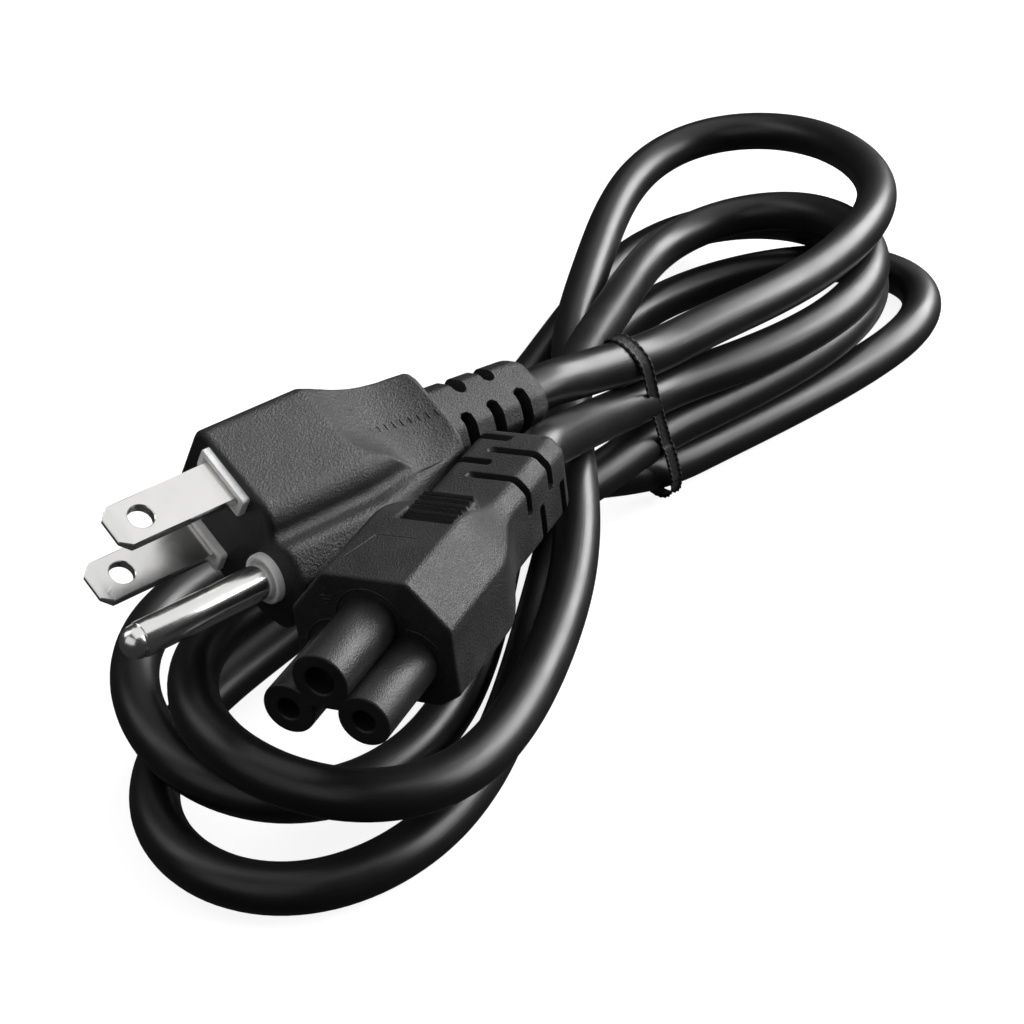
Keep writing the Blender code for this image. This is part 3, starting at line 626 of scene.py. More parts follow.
# Cord: the route joined to both strain reliefs, settled, smoothed, lengthened a little into the mouldings and
# given its rings.
def makeCord():
    leaving = cordEnd(plugPlace, plugCord)
    arriving = cordEnd(connectorPlace, connectorCord)
    points = leaving + [np.array(point) for point in route] + arriving[::-1]
    settled = settle(smoothLine(points, settling["step"]))
    for _ in range(settling["after"]):
        settled[3:-3] += settling["share"] * (settled[2:-4] + settled[4:-2] - 2 * settled[3:-3])
    settled = smoothLine(list(settled), cordSize["spacing"])
    count = cordSize["tuckSteps"]
    steps = np.arange(count, 0, -1)[:, None] / count * cordSize["tuck"]
    before = settled[0] + (settled[0] - settled[1]) / np.linalg.norm(settled[1] - settled[0]) * steps
    after = settled[-1] + (settled[-1] - settled[-2]) / np.linalg.norm(settled[-1] - settled[-2]) * steps[::-1]
    line = evenPoints(np.vstack((before, settled, after)), cordSize["spacing"])
    line[:, 2] = np.maximum(line[:, 2], cordSize["diameter"] / 2 * cordSize["floorShare"])
    around = cordSize["around"]
    mesh = skinMesh("mainsCord", tubeRings(line, cordSize["diameter"] / 2, around), jacketSkin, sharp=60)
    layer = mesh.uv_layers.new(name="along")
    corner = np.empty(len(mesh.loops), dtype=np.int32)
    mesh.loops.foreach_get("vertex_index", corner)
    ring = np.minimum(corner // around, len(line) - 1)
    turn = (corner % around) / around
    along = ring * cordSize["spacing"] * cordSize["uvPerMetre"]
    uv = np.stack((np.minimum(turn, 1.0 - turn) * 2, along), axis=-1)
    layer.data.foreach_set("uv", uv.astype(np.float32).ravel())
    cord = addPiece("mainsCord", mesh, ["cord"])
    length = np.linalg.norm(np.diff(line, axis=0), axis=1).sum()
    print("cord", round(float(length), 4), "m")
    return cord, line, float(length)


cord, cordLine, cordLength = makeCord()

# tie round the four strands

tieDetail = {"width": 0.0024, "rest": 0.00026, "ridge": 0.00036, "ridgeAt": 0.80, "ridgeWidth": 0.17,
             "pitch": 0.00105, "slant": 0.0011, "wave": 0.00008, "least": 0.00012, "lapRise": 0.00027,
             "lapLength": 0.0075, "lapEdge": 12, "foot": 0.0015, "lean": 0.0065, "leanPower": 1.3,
             "followFrom": 0.66, "followOver": 0.24, "floorGap": 0.00005, "leadPoints": 80, "beadDepth": 0.25,
             "waves": 5, "around": 460, "top": 21, "under": 7}


# Point and outward direction of the tie's line, an oval round the stack, at a share of the way round.
def tieLine(share, reach):
    half = (tieSize["strands"] - 1) * tieSize["pitch"] / 2
    straight = 2 * half
    arc = math.pi * reach
    at = (share % 1.0) * (2 * straight + 2 * arc)
    x = np.empty_like(at)
    z = np.empty_like(at)
    nx = np.empty_like(at)
    nz = np.empty_like(at)
    for low, kind in ((0.0, "right"), (straight, "top"), (straight + arc, "left"),
                      (2 * straight + arc, "bottom")):
        here = at >= low
        go = at - low
        turn = go / reach
        if kind == "right":
            vx, vz, ux, uz = reach + 0 * go, -half + go, 1 + 0 * go, 0 * go
        elif kind == "top":
            vx, vz, ux, uz = reach * np.cos(turn), half + reach * np.sin(turn), np.cos(turn), np.sin(turn)
        elif kind == "left":
            vx, vz, ux, uz = -reach + 0 * go, half - go, -1 + 0 * go, 0 * go
        else:
            vx, vz, ux, uz = -reach * np.cos(turn), -half - reach * np.sin(turn), -np.cos(turn), -np.sin(turn)
        x, z = np.where(here, vx, x), np.where(here, vz, z)
        nx, nz = np.where(here, ux, nx), np.where(here, uz, nz)
    return x, z, nx, nz


# Band carried round the oval: flat in the middle, a beaded ridge along each edge. A ridge's height
# swings with the way round plus the way across, so its beads slant like a laid cord.
def makeTie():
    reach = cordSize["diameter"] / 2 + cordSize["gap"]
    count = tieDetail["around"]
    share = np.linspace(0, 1, count, endpoint=False)
    x, z, nx, nz = tieLine(share, reach)
    total = 2 * (tieSize["strands"] - 1) * tieSize["pitch"] + 2 * math.pi * reach
    half = tieDetail["width"] / 2
    across = np.concatenate((np.linspace(-half, half, tieDetail["top"]),
                             np.linspace(half, -half, tieDetail["under"])[1:-1]))
    top = np.arange(len(across)) < tieDetail["top"]
    edge = np.exp(-(((np.abs(across) - half * tieDetail["ridgeAt"]) / (half * tieDetail["ridgeWidth"])) ** 2))
    turns = share[:, None] * total / tieDetail["pitch"] + across[None] / tieDetail["slant"]
    bead = 1 - tieDetail["beadDepth"] * (1 - np.cos(2 * math.pi * turns))
    lift = np.where(top[None], tieDetail["rest"] + tieDetail["ridge"] * edge[None] * bead, 0.0)
    lift = lift + tieDetail["wave"] * np.sin(2 * math.pi * share * tieDetail["waves"])[:, None]
    lift = np.maximum(lift, np.where(top[None], tieDetail["least"], 0.0))
    high = np.clip((z - z.min()) / (z.max() - z.min()), 0, 1)[:, None]      # the band leans towards the plug
    lap = 0.5 - np.abs(share * total / tieDetail["lapLength"] - 0.5)         # the lapped end lies on top
    lift = lift + np.where(top[None], tieDetail["lapRise"] * ease(lap * tieDetail["lapEdge"])[:, None], 0.0)
    outX = x[:, None] + nx[:, None] * lift
    outZ = z[:, None] + nz[:, None] * lift
    middle = throughTie(0, 0.0)[2] + (tieSize["strands"] - 1) * tieSize["pitch"] / 2
    ahead = np.array([math.cos(tieSize["heading"]), math.sin(tieSize["heading"])])
    right = np.array([ahead[1], -ahead[0]])
    points = np.zeros((count, len(across), 3))
    points[..., :2] = (np.array(tieSize["place"]) + right * outX[..., None]
                       + ahead * np.broadcast_to(across, outX.shape)[..., None])
    lean = tieDetail["foot"] + tieDetail["lean"] * high ** tieDetail["leanPower"]
    points[..., :2] -= ahead * lean[..., None]
    highest = np.array(throughTie(tieSize["strands"] - 1, 0.0))
    away = cordLine[:tieDetail["leadPoints"]] - highest
    near = away[np.abs(away[:, :2] @ ahead + tieDetail["foot"] + tieDetail["lean"]).argmin()]
    follow = ease((high - tieDetail["followFrom"]) / tieDetail["followOver"])[..., None]    # over the top
    points[..., :2] += right * (near[:2] @ right) * follow
    points[..., 2] = np.maximum(middle + outZ + near[2] * follow[..., 0], tieDetail["floorGap"])
    mesh = skinMesh("wrapTie", points, tieSkin, sharp=50, loop=True)
    return addPiece("wrapTie", mesh, ["twist_tie"])


makeTie()
print("tie made")

# plug

plugSize = {"top": -0.0077, "topHalf": 0.0086, "half": 0.0094, "shoulder": 0.0085, "waist": (0.0058, 0.0102),
            "lobe": (0.0073, 0.0130), "low": 0.0050, "bottom": 0.0180, "endTop": -0.0041, "endHalf": 0.0077,
            "endShoulder": 0.0062, "endBottom": 0.0110,
            "taperFrom": -0.0164, "flange": -0.0335, "neck": -0.0345, "edge": 0.0007, "flangeEdge": 0.0008,
            "nearRadii": (0.0020, 0.0031, 0.0012, 0.0018, 0.0025),
            "farRadii": (0.0026, 0.0014, 0.0014, 0.0014, 0.0014), "dip": 0.0010,
            "gripRadius": 0.0190, "gripHalf": 0.0062, "gripPlace": -0.0263, "gripEnd": 0.0106,
            "gripCorner": 0.006, "gripEdge": 0.00035, "gripEndEdge": 0.0005,
            "reliefHalf": 0.0058, "reliefTaper": 0.0006, "reliefDrop": 0.0006, "reliefRadius": 0.0019,
            "reliefRound": 0.0026, "core": 0.0039,
            "reliefCorners": ((0.60, -1.0), (0.98, -0.60), (1.03, 0.0), (0.98, 0.60), (0.60, 1.0)),
            "faceStations": (0.0, -0.00005, -0.0002, -0.00045, -0.0008), "blockFrom": -0.0011,
            "blockStep": 0.00031, "flangeStep": 0.00014, "reliefStep": 0.0002}
reliefSlots = {"width": 0.0017, "edge": 0.00012, "pinSide": (-0.0371, -0.0421, -0.0473),
               "bladeSide": (-0.0396, -0.0449), "pinReach": 0.0072, "bladeReach": 0.0062}
roundEnd = np.array([0.95, 0.7, 0.45, 0.25, 0.1, 0.03, 0.0])     # stations of a rounded end
mouth = ((0.0, 0.00375), (0.0002, 0.00352), (0.0030, 0.00350), (0.0031, 0.0032))     # depth and radius
outlineSteps = {"arc": 7, "side": [44, 12, 12, 14], "bottom": 24, "top": 44}


# 1 inside a slot with round ends, 0 outside: along is the way across the slot, beside the way down its length.
def slotMask(along, beside, halfLength):
    away = np.hypot(along, np.maximum(np.abs(beside) - halfLength, 0.0)) - reliefSlots["width"] / 2
    return 1.0 - ease((away + reliefSlots["edge"]) / (2 * reliefSlots["edge"]))


# Five corners of one side, mirrored to ten, each with its radius and the steps of the sides between.
def tenCorners(side, radii):
    corners = side + [(-y, z) for y, z in side[::-1]]
    steps = outlineSteps["side"]
    return roundedOutline(corners, radii + radii[::-1], outlineSteps["arc"],
                          steps + [outlineSteps["bottom"]] + steps[::-1] + [outlineSteps["top"]])


# Outline of the plug at x: near corners plus (far corners minus near corners) times the share of the taper.
def plugOutline(x, inset):
    size = plugSize
    share = np.clip((size["taperFrom"] - x) / (size["taperFrom"] - size["flange"]), 0, 1)
    half, low = size["endHalf"], size["endBottom"]
    near = [(size["topHalf"], size["top"]), (size["half"], size["shoulder"]), size["waist"], size["lobe"],
            (size["low"], size["bottom"])]
    far = [(half * 0.98, size["endTop"]), (half, size["endShoulder"]), (half * 0.94, low * 0.8),
           (half * 0.78, low * 0.94), (half * 0.52, low)]
    side = []
    for a, b in zip(near, far):
        y, z = a[0] + (b[0] - a[0]) * share, a[1] + (b[1] - a[1]) * share
        side.append((y - inset, z - math.copysign(inset, z - plugCord["height"])))
    side[0] = (side[0][0], side[0][1] + size["dip"] * math.sin(math.pi * share))
    return tenCorners(side, [a + (b - a) * share for a, b in zip(size["nearRadii"], size["farRadii"])])


# Strain relief between round and square, thinner towards its end.
def plugReliefOutline(x, inset):
    share = np.clip((plugSize["neck"] - x) / (plugSize["neck"] - plugCord["end"]), 0, 1)
    half = plugSize["reliefHalf"] - plugSize["reliefTaper"] * share - inset
    side = [(half * y, half * z) for y, z in plugSize["reliefCorners"]]
    middle = plugCord["height"] - plugSize["reliefDrop"] * (1 - share)
    return tenCorners([(y, middle + z) for y, z in side], [plugSize["reliefRadius"]] * 5)


# Half width the thumb scoop leaves: floor plus the circle's depth at the distance from its middle; in front of
# the middle the height counts into the distance, so the scoop's lower front corner is round.
def scoopLimit(x, z):
    size = plugSize
    ahead = x - size["gripPlace"]
    low = np.maximum(z, 0.0) * ease(ahead / size["gripCorner"])
    chord = size["gripRadius"] ** 2 - ahead ** 2 - low ** 2
    limit = size["gripHalf"] + size["gripRadius"] - np.sqrt(np.maximum(chord, 0.0))
    return np.where(chord > 0, limit, 1.0)


# Inset of a rounded edge of a radius at a depth behind the face: radius minus the circle's half chord.
def edgeInset(depth, radius):
    rest = max(radius - depth, 0.0)
    return radius - math.sqrt(max(radius * radius - rest * rest, 0.0))


# Rings that close a relief: the last outline drawn to circles, which turn in to the cord.
def mouthRings(last, end, middle):
    across = last[:, 1:] - (0, middle)
    across = across / np.hypot(across[:, 0], across[:, 1])[:, None]
    return [np.column_stack((np.full(len(last), end + depth), across * radius + (0, middle)))
            for depth, radius in mouth]


# Skin of the plug: outlines blended from block to relief, the sides held inside two hollow cylinders, the
# relief pressed in to its core where a slot's mask is 1.
def makePlugBody():
    size = plugSize
    end = plugCord["end"]
    x = np.concatenate((size["faceStations"], np.arange(size["blockFrom"], size["flange"], -size["blockStep"]),
                        np.arange(size["flange"], size["neck"] - 0.0008, -size["flangeStep"]),
                        np.arange(size["neck"] - 0.0010, end + size["reliefRound"], -size["reliefStep"]),
                        end + size["reliefRound"] * roundEnd))
    middle = plugCord["height"]
    rings = []
    for at in x:
        inset = edgeInset(-at, size["edge"]) + edgeInset(at - size["flange"], size["flangeEdge"])
        body = plugOutline(at, inset)
        held = np.sign(body[:, 0]) * softMin(np.abs(body[:, 0]), scoopLimit(at, body[:, 1]), size["gripEdge"])
        above = ease((size["gripEnd"] - body[:, 1]) / size["gripEndEdge"] + 0.5)
        inside = above * float(ease((at - size["flange"]) / 0.0001 + 1))
        body[:, 0] += (held - body[:, 0]) * inside
        share = float(ease((size["flange"] - at) / (size["flange"] - size["neck"])))
        relief = plugReliefOutline(at, edgeInset((at - end) / 2, size["reliefRound"] / 2))
        ring = body * (1 - share) + relief * share
        if at < size["neck"] - 0.001 and at > end + 0.001:
            y, z = ring[:, 0], ring[:, 1] - middle
            mask = np.zeros(len(ring))
            turn = np.arctan2(np.abs(y), z)
            for row, way in (("pin", turn), ("blade", math.pi - turn)):
                for place in reliefSlots[row + "Side"]:
                    slot = slotMask(at - place, way * size["reliefHalf"], reliefSlots[row + "Reach"])
                    mask = np.maximum(mask, slot)
            reach = np.hypot(y, z)
            factor = 1 + (size["core"] / reach - 1) * mask
            ring = np.stack((y * factor, middle + z * factor), axis=-1)
        rings.append(np.column_stack((np.full(len(ring), at), ring)))
    rings += mouthRings(rings[-1], end, middle)
    mesh = skinMesh("plugMoulding", placeRings(np.array(rings), plugPlace), plugSkin, sharp=55)
    return addPiece("plugMoulding", mesh, ["plug_body"])


makePlugBody()
print("plug body made")

bladeSize = {"thickness": 0.0015, "width": 0.00635, "length": 0.0179, "pitch": 0.0127, "hole": 0.0034,
             "holePlace": 0.0134, "corner": 0.0013, "root": 0.0070, "bevel": 0.0014, "tipThickness": 0.0008,
             "edge": 0.00012, "tipSteps": 14, "sideSteps": 26, "faceRings": (0.2, 0.4, 0.6, 0.75, 0.85, 0.92)}


# Blade: rays from the hole meet the outline; rings run from the hole's rim over the flat face to the broken
# edge, and the same back below, so the skin is a loop. Near the tip the thickness falls.
def makeBlade(name, side, node):
    size = bladeSize
    half, tip = size["width"] / 2, size["length"] - size["holePlace"]
    root, cut = -size["root"] - size["holePlace"], size["corner"]
    corners = [(tip, -half + cut), (tip, half - cut), (tip - cut, half), (root, half), (root, -half),
               (tip - cut, -half)]
    points = []
    for n, corner in enumerate(corners):
        after = np.array(corners[(n + 1) % 6])
        steps = size["tipSteps"] if n in (0, 1, 5) else size["sideSteps"]
        share = np.linspace(0, 1, steps, endpoint=False)[:, None]
        points.append(np.array(corner) * (1 - share) + after * share)
    outer = np.vstack(points)
    angle = np.arctan2(outer[:, 1], outer[:, 0])
    inner = np.stack((np.cos(angle), np.sin(angle)), axis=-1) * size["hole"] / 2
    unit = outer / np.linalg.norm(outer, axis=1)[:, None]
    rings = []

    # Half thickness at a plan point: full, falling in a straight bevel behind the tip.
    def halfThickness(plan, drop):
        near = np.clip((plan[:, 0] - (tip - size["bevel"])) / size["bevel"], 0, 1)
        return (size["thickness"] + (size["tipThickness"] - size["thickness"]) * near) / 2 - drop

    edge = size["edge"]
    stack = [(inner, edge), (inner + unit * edge, 0.0)]
    stack += [(inner + (outer - inner) * share, 0.0) for share in size["faceRings"]]
    stack += [(outer - unit * edge, 0.0), (outer, edge)]
    for turn, ways in ((1, stack), (-1, stack[::-1])):
        for plan, drop in ways:
            depth = turn * halfThickness(plan, drop)
            rings.append(np.column_stack((plan[:, 0] + size["holePlace"], depth, plan[:, 1])))
    local = np.array(rings)
    local[..., 1] += side * size["pitch"] / 2
    mesh = skinMesh(name, placeRings(local.transpose(1, 0, 2), plugPlace), bladeSkin, sharp=25, loop=True)
    return addPiece(name, mesh, [node])


makeBlade("upperBlade", -1, "line_blade")
makeBlade("lowerBlade", 1, "neutral_blade")

pinSize = {"radius": 0.00238, "length": 0.0227, "offset": 0.0119, "root": 0.0070, "shoulder": 0.00016,
           "tip": 0.02, "domeSteps": 20, "around": 72}


# Pin: a dome a little thinner than the shank, a small shoulder, then the straight shank.
def makePin():
    size = pinSize
    dome = size["radius"] - size["shoulder"]
    angle = np.linspace(size["tip"], math.pi / 2, size["domeSteps"])
    profile = [(size["length"] - dome + dome * math.cos(a), dome * math.sin(a)) for a in angle]
    foot = size["length"] - dome
    profile += [(foot - 0.0003, dome), (foot - 0.0004, dome + 0.00008), (foot - 0.00052, size["radius"]),
                (0.008, size["radius"]), (0.0, size["radius"]), (-size["root"], size["radius"])]
    local = turnedRings(profile, size["around"], 0.0, size["offset"])
    mesh = skinMesh("earthPin", placeRings(local, plugPlace), pinSkin, sharp=40)
    return addPiece("earthPin", mesh, ["ground_pin"])


makePin()

insertSize = {"rise": 0.0011, "wall": 0.00095, "floor": 0.0003, "length": 0.0093, "thick": 0.0035,
              "sink": 0.0008, "outerRadius": 0.0004, "innerRadius": 0.0003, "pinOuter": 0.00345,
              "pinInner": 0.00275, "pinAround": 64, "pinShare": 0.98, "bladeShare": 0.9}


# White insert: rings of rounded oblongs go up the outside of a collar, over its rim, down to its floor and in
# to the blade; the pin's collar is the same profile turned.
def makeInsert():
    size = insertSize
    rise, wall, floor, sink = size["rise"], size["wall"], size["floor"], size["sink"]
    outer, inner = size["outerRadius"], size["innerRadius"]
    sections = ((-sink, 0.0, outer), (rise - 0.0002, 0.0, outer), (rise - 0.00006, 0.00006, outer),
                (rise, 0.0002, outer), (rise, wall - 0.0002, inner), (rise - 0.0002, wall, inner),
                (floor, wall + 0.0001, 0.0002), (floor - 0.0001, wall + 0.0005, 0.0001),
                (-sink, wall + 0.0005, 0.0001))        # place, inset and corner radius
    meshes = []
    for side in (-1, 1):
        rings = []
        for x, inset, radius in sections:
            halfY, halfZ = size["thick"] / 2 - inset, size["length"] / 2 - inset
            halfY = max(halfY, bladeSize["thickness"] / 2 * size["bladeShare"])
            radius = min(radius, halfY * 0.6)
            corners = [(-halfY, -halfZ), (halfY, -halfZ), (halfY, halfZ), (-halfY, halfZ)]
            plan = roundedOutline(corners, [radius] * 4, 5, [6, 16, 6, 16])
            plan[:, 0] += side * bladeSize["pitch"] / 2
            rings.append(np.column_stack((np.full(len(plan), x), plan)))
        meshes.append(np.array(rings))
    outer, inner, bore = size["pinOuter"], size["pinInner"], pinSize["radius"] * size["pinShare"]
    profile = [(-sink, outer), (rise - 0.0003, outer), (rise - 0.00008, outer - 0.0001), (rise, outer - 0.0003),
               (rise - 0.00012, inner + 0.0001), (rise - 0.0004, inner), (floor, inner - 0.0001), (floor, bore),
               (-sink, bore)]
    meshes.append(turnedRings(profile, size["pinAround"], 0.0, pinSize["offset"]))
    for name, local in zip(("upperCollar", "lowerCollar", "pinCollar"), meshes):
        mesh = skinMesh(name, placeRings(local, plugPlace), insertSkin, sharp=40)
        addPiece(name, mesh, ["prong_insert"])


makeInsert()
print("prongs made")

# small raised bars: ticks in the grip, the earth mark, the lines of the connector's panel

barShape = {"around": 12, "places": np.array([0.0, 0.15, 0.5, 1.0]), "endShare": 0.02}


# Low bar from one point to another: an oval section half sunk in a face, carried along, its ends drawn in.
def barRings(start, end, up, width, height):
    start, end, up = (np.array(v, float) for v in (start, end, up))
    ahead = (end - start) / np.linalg.norm(end - start)
    side = np.cross(up, ahead)
    angle = np.linspace(0, 2 * math.pi, barShape["around"], endpoint=False)
    section = side * (np.cos(angle) * width / 2)[:, None] + up * (np.sin(angle) * height)[:, None]
    length = np.linalg.norm(end - start)
    tip = min(width / 2, length / 3)
    places = barShape["places"] * tip
    places = np.concatenate((places, length - places[::-1]))
    near = np.minimum(places, length - places) / tip
    swell = np.sqrt(np.clip(1 - (1 - near) ** 2, barShape["endShare"], 1.0))
    return start + ahead * places[:, None, None] + section[None] * swell[:, None, None]


# All bars of one set in one mesh.
def makeBars(name, bars, place, shade):
    points, faces = [], []
    around = barShape["around"]
    for bar in bars:
        rings = placeRings(barRings(*bar), place)
        first = sum(len(p) for p in points)
        last = first + (len(rings) - 1) * around
        quads = outward(rings.reshape(-1, 3), ringQuads(len(rings), around))
        points.append(rings.reshape(-1, 3))
        faces += (quads + first).tolist()
        ends = [list(range(first, first + around)), list(range(last, last + around))]
        swapped = quads[0][1] != (ringQuads(2, around)[0][1])
        faces += [ends[0] if swapped else ends[0][::-1], ends[1][::-1] if swapped else ends[1]]
    mesh = bpy.data.meshes.new(name)
    mesh.from_pydata(np.vstack(points).tolist(), [], faces)
    finishMesh(mesh, shade, 50)
    return addPiece(name, mesh)


gripTicks = {"from": -0.0213, "step": 0.00125, "count": 10, "z": 0.0023, "rise": 0.0018, "length": 0.0011,
             "width": 0.00024, "height": 0.00015, "sink": 0.00004}


# Each tick lies on the scoop's face, turned the way the face runs.
def makeTicks():
    bars = []
    for side in (-1, 1):
        for n in range(gripTicks["count"]):
            x = gripTicks["from"] - n * gripTicks["step"]
            y = side * (float(scoopLimit(x, np.array(0.0))) - gripTicks["sink"])
            half = gripTicks["length"] / 2
            z = gripTicks["z"] + gripTicks["rise"] * (n / (gripTicks["count"] - 1)) ** 2
            bars.append(((x, y, z - half), (x, y, z + half), (0, side, 0),
                         gripTicks["width"], gripTicks["height"]))
    return makeBars("gripTicks", bars, plugPlace, plugSkin)


makeTicks()
print("ticks made")

# connector

bodySize = {"front": -0.0129, "topHalf": 0.0057, "top": 0.0109, "half": 0.0108, "upperSide": 0.0051,
            "lowerSide": -0.0043, "lowHalf": 0.0079, "bottom": -0.0063, "edge": 0.0004, "narrowFrom": -0.0272,
            "narrowTo": -0.0415, "reliefHalf": 0.0064, "reliefRise": 0.0061, "reliefRound": 0.0024,
            "roundShare": 0.6, "core": 0.0041, "faceStations": (0.0, 0.00005, 0.00015, 0.0003, 0.0004),
            "blockStep": 0.0005, "padStep": 0.00011, "reliefStep": 0.00022, "arcSteps": 6,
            "sideSteps": [44, 30, 34, 14, 36, 14, 34, 30]}
gripPad = {"from": -0.0268, "to": -0.0349, "middle": 0.0011, "half": 0.0038, "level": 0.0099, "edge": 0.00018,
           "ribs": 7, "ribRise": 0.00062, "ribShare": 0.40, "ribHalf": 0.0036, "ribEdge": 0.0002}
wrapSlots = {"width": 0.0013, "edge": 0.00012, "turnRadius": 0.0062,     # sides: degrees round from the top
             "upper": (-0.0458, -0.0525), "upperSides": (31, -149), "upperReach": 0.0048,
             "lower": (-0.0492, -0.0559), "lowerSides": (-48, 132), "lowerReach": 0.0042}


# Eight cornered outline, each corner gone a share of the way from the block to the strain relief.
def connectorOutline(share, inset):
    size = bodySize
    middle, rise, half = connectorCord["height"], size["reliefRise"], size["reliefHalf"]
    block = [(size["topHalf"], size["top"]), (size["half"], size["upperSide"]),
             (size["half"], size["lowerSide"]), (size["lowHalf"], size["bottom"])]
    relief = [(half * 0.75, middle + rise), (half, middle + rise * 0.7), (half, middle - rise * 0.7),
              (half * 0.75, middle - rise)]
    right = []
    for near, far in zip(block, relief):
        y = near[0] + (far[0] - near[0]) * share
        z = near[1] + (far[1] - near[1]) * share
        right.append((y - inset, z - math.copysign(inset, z - middle)))
    corners = [(-right[0][0], right[0][1])] + right + [(-y, z) for y, z in right[:0:-1]]
    upper, lower = 0.0012 + 0.0004 * share, 0.0009 + 0.0007 * share
    radii = [upper] * 3 + [lower] * 4 + [upper]
    return roundedOutline(corners, radii, size["arcSteps"], size["sideSteps"])


# Smooth 1 between low and high, 0 outside, over an edge.
def between(value, low, high, edge):
    return ease((value - low) / edge + 0.5) * ease((high - value) / edge + 0.5)


# Skin of the connector: outlines from block to relief; the pad's area on top is set to its level plus ribs
# across; a slot's mask, taken from the way round at a station, presses the relief in to its core.
def makeConnectorBody():
    size, end, middle = bodySize, connectorCord["end"], connectorCord["height"]
    front = size["front"]
    rounded = end + size["reliefRound"]
    x = np.concatenate((front - np.array(size["faceStations"]),
                        np.arange(front - 0.0006, gripPad["from"] + 0.0006, -size["blockStep"]),
                        np.arange(gripPad["from"] + 0.0005, gripPad["to"] - 0.0005, -size["padStep"]),
                        np.arange(gripPad["to"] - 0.0006, rounded + 0.0001, -size["reliefStep"]),
                        end + size["reliefRound"] * roundEnd))
    rings = []
    for at in x:
        share = float(ease((size["narrowFrom"] - at) / (size["narrowFrom"] - size["narrowTo"])))
        inset = (edgeInset(front - at, size["edge"])
                 + edgeInset((at - end) * size["roundShare"], size["reliefRound"] * size["roundShare"]))
        ring = connectorOutline(share, inset)
        y, z = ring[:, 0], ring[:, 1].copy()
        if gripPad["to"] - 0.001 < at < gripPad["from"] + 0.001:
            centre, half, ribHalf, edge = (gripPad[key] for key in ("middle", "half", "ribHalf", "edge"))
            pad = between(at, gripPad["to"], gripPad["from"], edge)
            pad = pad * between(y, centre - half, centre + half, edge) * (z > middle)
            pitch = (gripPad["from"] - gripPad["to"]) / gripPad["ribs"]
            phase = ((gripPad["from"] - at) / pitch) % 1.0
            past = min(phase, 1 - phase) - (1 - gripPad["ribShare"]) / 2
            rib = float(ease(past * pitch / gripPad["ribEdge"]))
            rib = rib * between(y, centre - ribHalf, centre + ribHalf, edge)
            z = z * (1 - pad) + (gripPad["level"] + gripPad["ribRise"] * rib) * pad
        if at < size["narrowTo"] and at > end + 0.001:
            angle = np.arctan2(y, z - middle)
            mask = np.zeros(len(ring))
            for row in ("upper", "lower"):
                for place, side in itertools.product(wrapSlots[row], wrapSlots[row + "Sides"]):
                    turn = (angle - math.radians(side) + math.pi) % (2 * math.pi) - math.pi
                    beside = np.abs(turn) * wrapSlots["turnRadius"] - wrapSlots[row + "Reach"]
                    away = np.hypot(at - place, np.maximum(beside, 0.0)) - wrapSlots["width"] / 2
                    mask = np.maximum(mask, 1 - ease(away / wrapSlots["edge"] + 0.5))
            reach = np.hypot(y, z - middle)
            factor = 1 + (size["core"] / reach - 1) * mask
            y, z = y * factor, middle + (z - middle) * factor
        rings.append(np.column_stack((np.full(len(ring), at), y, z)))
    rings += mouthRings(rings[-1], end, middle)
    mesh = skinMesh("connectorMoulding", placeRings(np.array(rings), connectorPlace), connectorSkin, sharp=50)
    return addPiece("connectorMoulding", mesh, ["connector_body"])


connectorBody = makeConnectorBody()
print("connector body made")

noseSize = {"length": 0.0129, "root": 0.0004, "pitch": 0.0050, "earthRise": 0.00475, "lobe": 0.0034,
            "earthLobe": 0.00365, "web": 0.0009, "hole": 0.00145, "earthHole": 0.00185, "edge": 0.00028,
            "lobeSteps": 46, "holeSteps": 48}


# Points of a circle at the angles given.
def circlePoints(centre, radius, angle):
    return np.stack((centre[0] + radius * np.cos(angle), centre[1] + radius * np.sin(angle)), axis=-1)


# Cloverleaf: the arc of each lobe between the points where it meets the web line or its neighbour, all radii
# grown by the same amount.
def cloverLine(grow, steps):
    lobe, earthLobe = noseSize["lobe"] + grow, noseSize["earthLobe"] + grow
    pitch, rise, web = noseSize["pitch"], noseSize["earthRise"], noseSize["web"] - grow
    apart = math.hypot(pitch, rise)
    toEarth = math.degrees(math.atan2(rise, -pitch))
    meet = math.degrees(math.acos((apart ** 2 + lobe ** 2 - earthLobe ** 2) / (2 * apart * lobe)))
    back = math.degrees(math.acos((apart ** 2 + earthLobe ** 2 - lobe ** 2) / (2 * apart * earthLobe)))
    flat = math.degrees(math.asin(web / lobe))
    points = []
    low = math.degrees(math.atan2(-rise, pitch))
    for centre, radius, first, last in (((pitch, 0.0), lobe, 180 - flat, 360 + toEarth - meet),
                                        ((0.0, rise), earthLobe, low + back, 180 - low - back),
                                        ((-pitch, 0.0), lobe, 180 - toEarth + meet, 360 + flat)):
        angle = np.radians(np.linspace(first, last, steps))
        points.append(circlePoints(centre, radius, angle))
    return np.vstack(points)


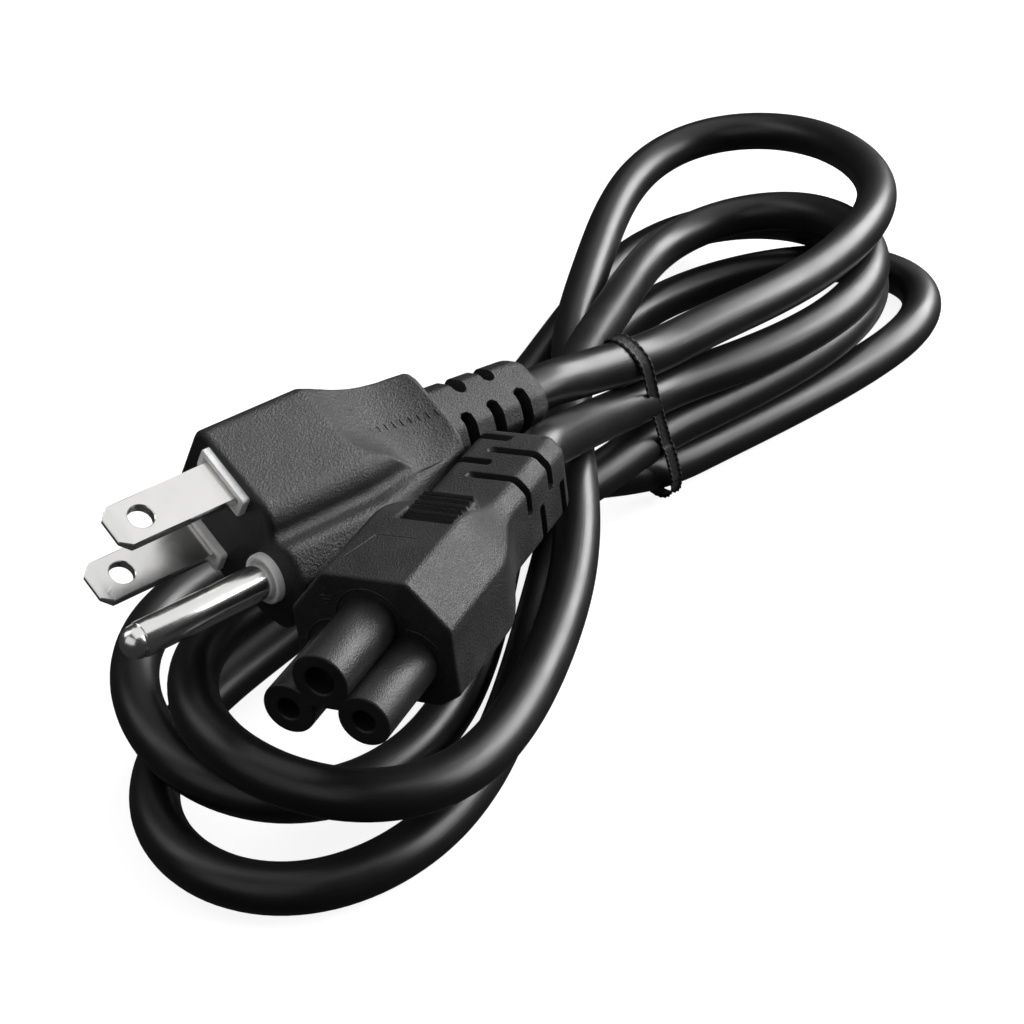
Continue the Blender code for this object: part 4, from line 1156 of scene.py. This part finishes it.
# Flat curve with holes made solid: its plane becomes the nose's face, its depth runs along the connector.
def makeNose():
    curve = bpy.data.curves.new("nose", "CURVE")
    curve.dimensions = "2D"
    curve.fill_mode = "BOTH"
    lines = [cloverLine(0.0, noseSize["lobeSteps"])]
    for centre, radius in (((noseSize["pitch"], 0.0), noseSize["hole"]),
                           ((-noseSize["pitch"], 0.0), noseSize["hole"]),
                           ((0.0, noseSize["earthRise"]), noseSize["earthHole"])):
        angle = np.linspace(0, -2 * math.pi, noseSize["holeSteps"], endpoint=False)
        lines.append(circlePoints(centre, radius, angle))
    for line in lines:
        spline = curve.splines.new("POLY")
        spline.points.add(len(line) - 1)
        flat = np.column_stack((line, np.zeros(len(line)), np.ones(len(line))))
        spline.points.foreach_set("co", flat.astype(np.float32).ravel())
        spline.use_cyclic_u = True
    half = (noseSize["length"] + noseSize["root"]) / 2
    curve.bevel_depth = noseSize["edge"]
    curve.bevel_resolution = 3
    curve.offset = -noseSize["edge"]
    curve.extrude = half - noseSize["edge"]
    holder = bpy.data.objects.new("nose", curve)
    bpy.context.scene.collection.objects.link(holder)
    bpy.context.view_layer.update()
    mesh = bpy.data.meshes.new_from_object(holder.evaluated_get(bpy.context.evaluated_depsgraph_get()))
    bpy.data.objects.remove(holder)
    flat = np.empty(len(mesh.vertices) * 3, dtype=np.float32)
    mesh.vertices.foreach_get("co", flat)
    flat = flat.reshape(-1, 3)
    local = np.stack((flat[:, 2] - half, flat[:, 0], flat[:, 1]), axis=-1)
    mesh.vertices.foreach_set("co", toWorld(local, connectorPlace).astype(np.float32).ravel())
    mesh.materials.clear()
    finishMesh(mesh, noseSkin, 35)
    return addPiece("cloverNose", mesh, ["connector_nose"])


nose = makeNose()

faceMarks = {"beadOut": 0.0009, "bead": 0.00024, "beadRise": 0.00012, "beadSteps": 30, "beadAround": 10,
             "mark": (-0.0055, 0.0076), "markStem": 0.0011, "markSink": 0.00003, "markWidth": 0.00026,
             "markRise": 0.00012, "markBars": ((0.00085, 0.0), (0.00058, 0.0005), (0.00030, 0.0010)),
             "panel": ((-0.0165, -0.0048), (-0.0226, -0.0031), (-0.0228, 0.0026)), "panelSink": 0.00002,
             "lineWidth": 0.00022, "lineRise": 0.00007}


# Bead round the nose's foot: a small round section carried along the grown clover line.
def makeFootBead():
    line = cloverLine(faceMarks["beadOut"], faceMarks["beadSteps"])
    ahead = np.roll(line, -1, axis=0) - np.roll(line, 1, axis=0)
    ahead /= np.linalg.norm(ahead, axis=1)[:, None]
    out = np.stack((ahead[:, 1], -ahead[:, 0]), axis=-1)
    angle = np.linspace(0, 2 * math.pi, faceMarks["beadAround"], endpoint=False)
    local = np.zeros((len(line), faceMarks["beadAround"], 3))
    local[..., 0] = bodySize["front"] + faceMarks["beadRise"] * np.sin(angle)
    local[..., 1:] = line[:, None] + out[:, None] * (np.cos(angle) * faceMarks["bead"] / 2)[None, :, None]
    mesh = skinMesh("footBead", placeRings(local, connectorPlace), connectorSkin, sharp=60, loop=True)
    return addPiece("footBead", mesh)


# Earth mark: an upright bar above three level bars, each shorter than the one above.
def makeEarthMark():
    y, z = faceMarks["mark"]
    front = bodySize["front"] - faceMarks["markSink"]
    bars = [((front, y, z), (front, y, z + faceMarks["markStem"]))]
    bars += [((front, y - half, z - drop), (front, y + half, z - drop)) for half, drop in faceMarks["markBars"]]
    bars = [(a, b, (1, 0, 0), faceMarks["markWidth"], faceMarks["markRise"]) for a, b in bars]
    return makeBars("earthMark", bars, connectorPlace, connectorSkin)


# Faint raised lines on the top face, the front and one side of an empty panel.
def makePanelLines():
    level = bodySize["top"] - faceMarks["panelSink"]
    corners = [(x, y, level) for x, y in faceMarks["panel"]]
    bars = [(a, b, (0, 0, 1), faceMarks["lineWidth"], faceMarks["lineRise"])
            for a, b in zip(corners, corners[1:])]
    return makeBars("panelLines", bars, connectorPlace, connectorSkin)


footBead = makeFootBead()
earthMark = makeEarthMark()
panelLines = makePanelLines()

contacts = [bpy.data.objects[name] for name in ("earth_contact", "line_contact", "neutral_contact")]
for contact in contacts:
    contact.data.materials.clear()
    contact.data.materials.append(contactSkin)
print("connector made")

cordExit = toWorld([(plugCord["end"], 0.0, plugCord["height"])], plugPlace)[0]
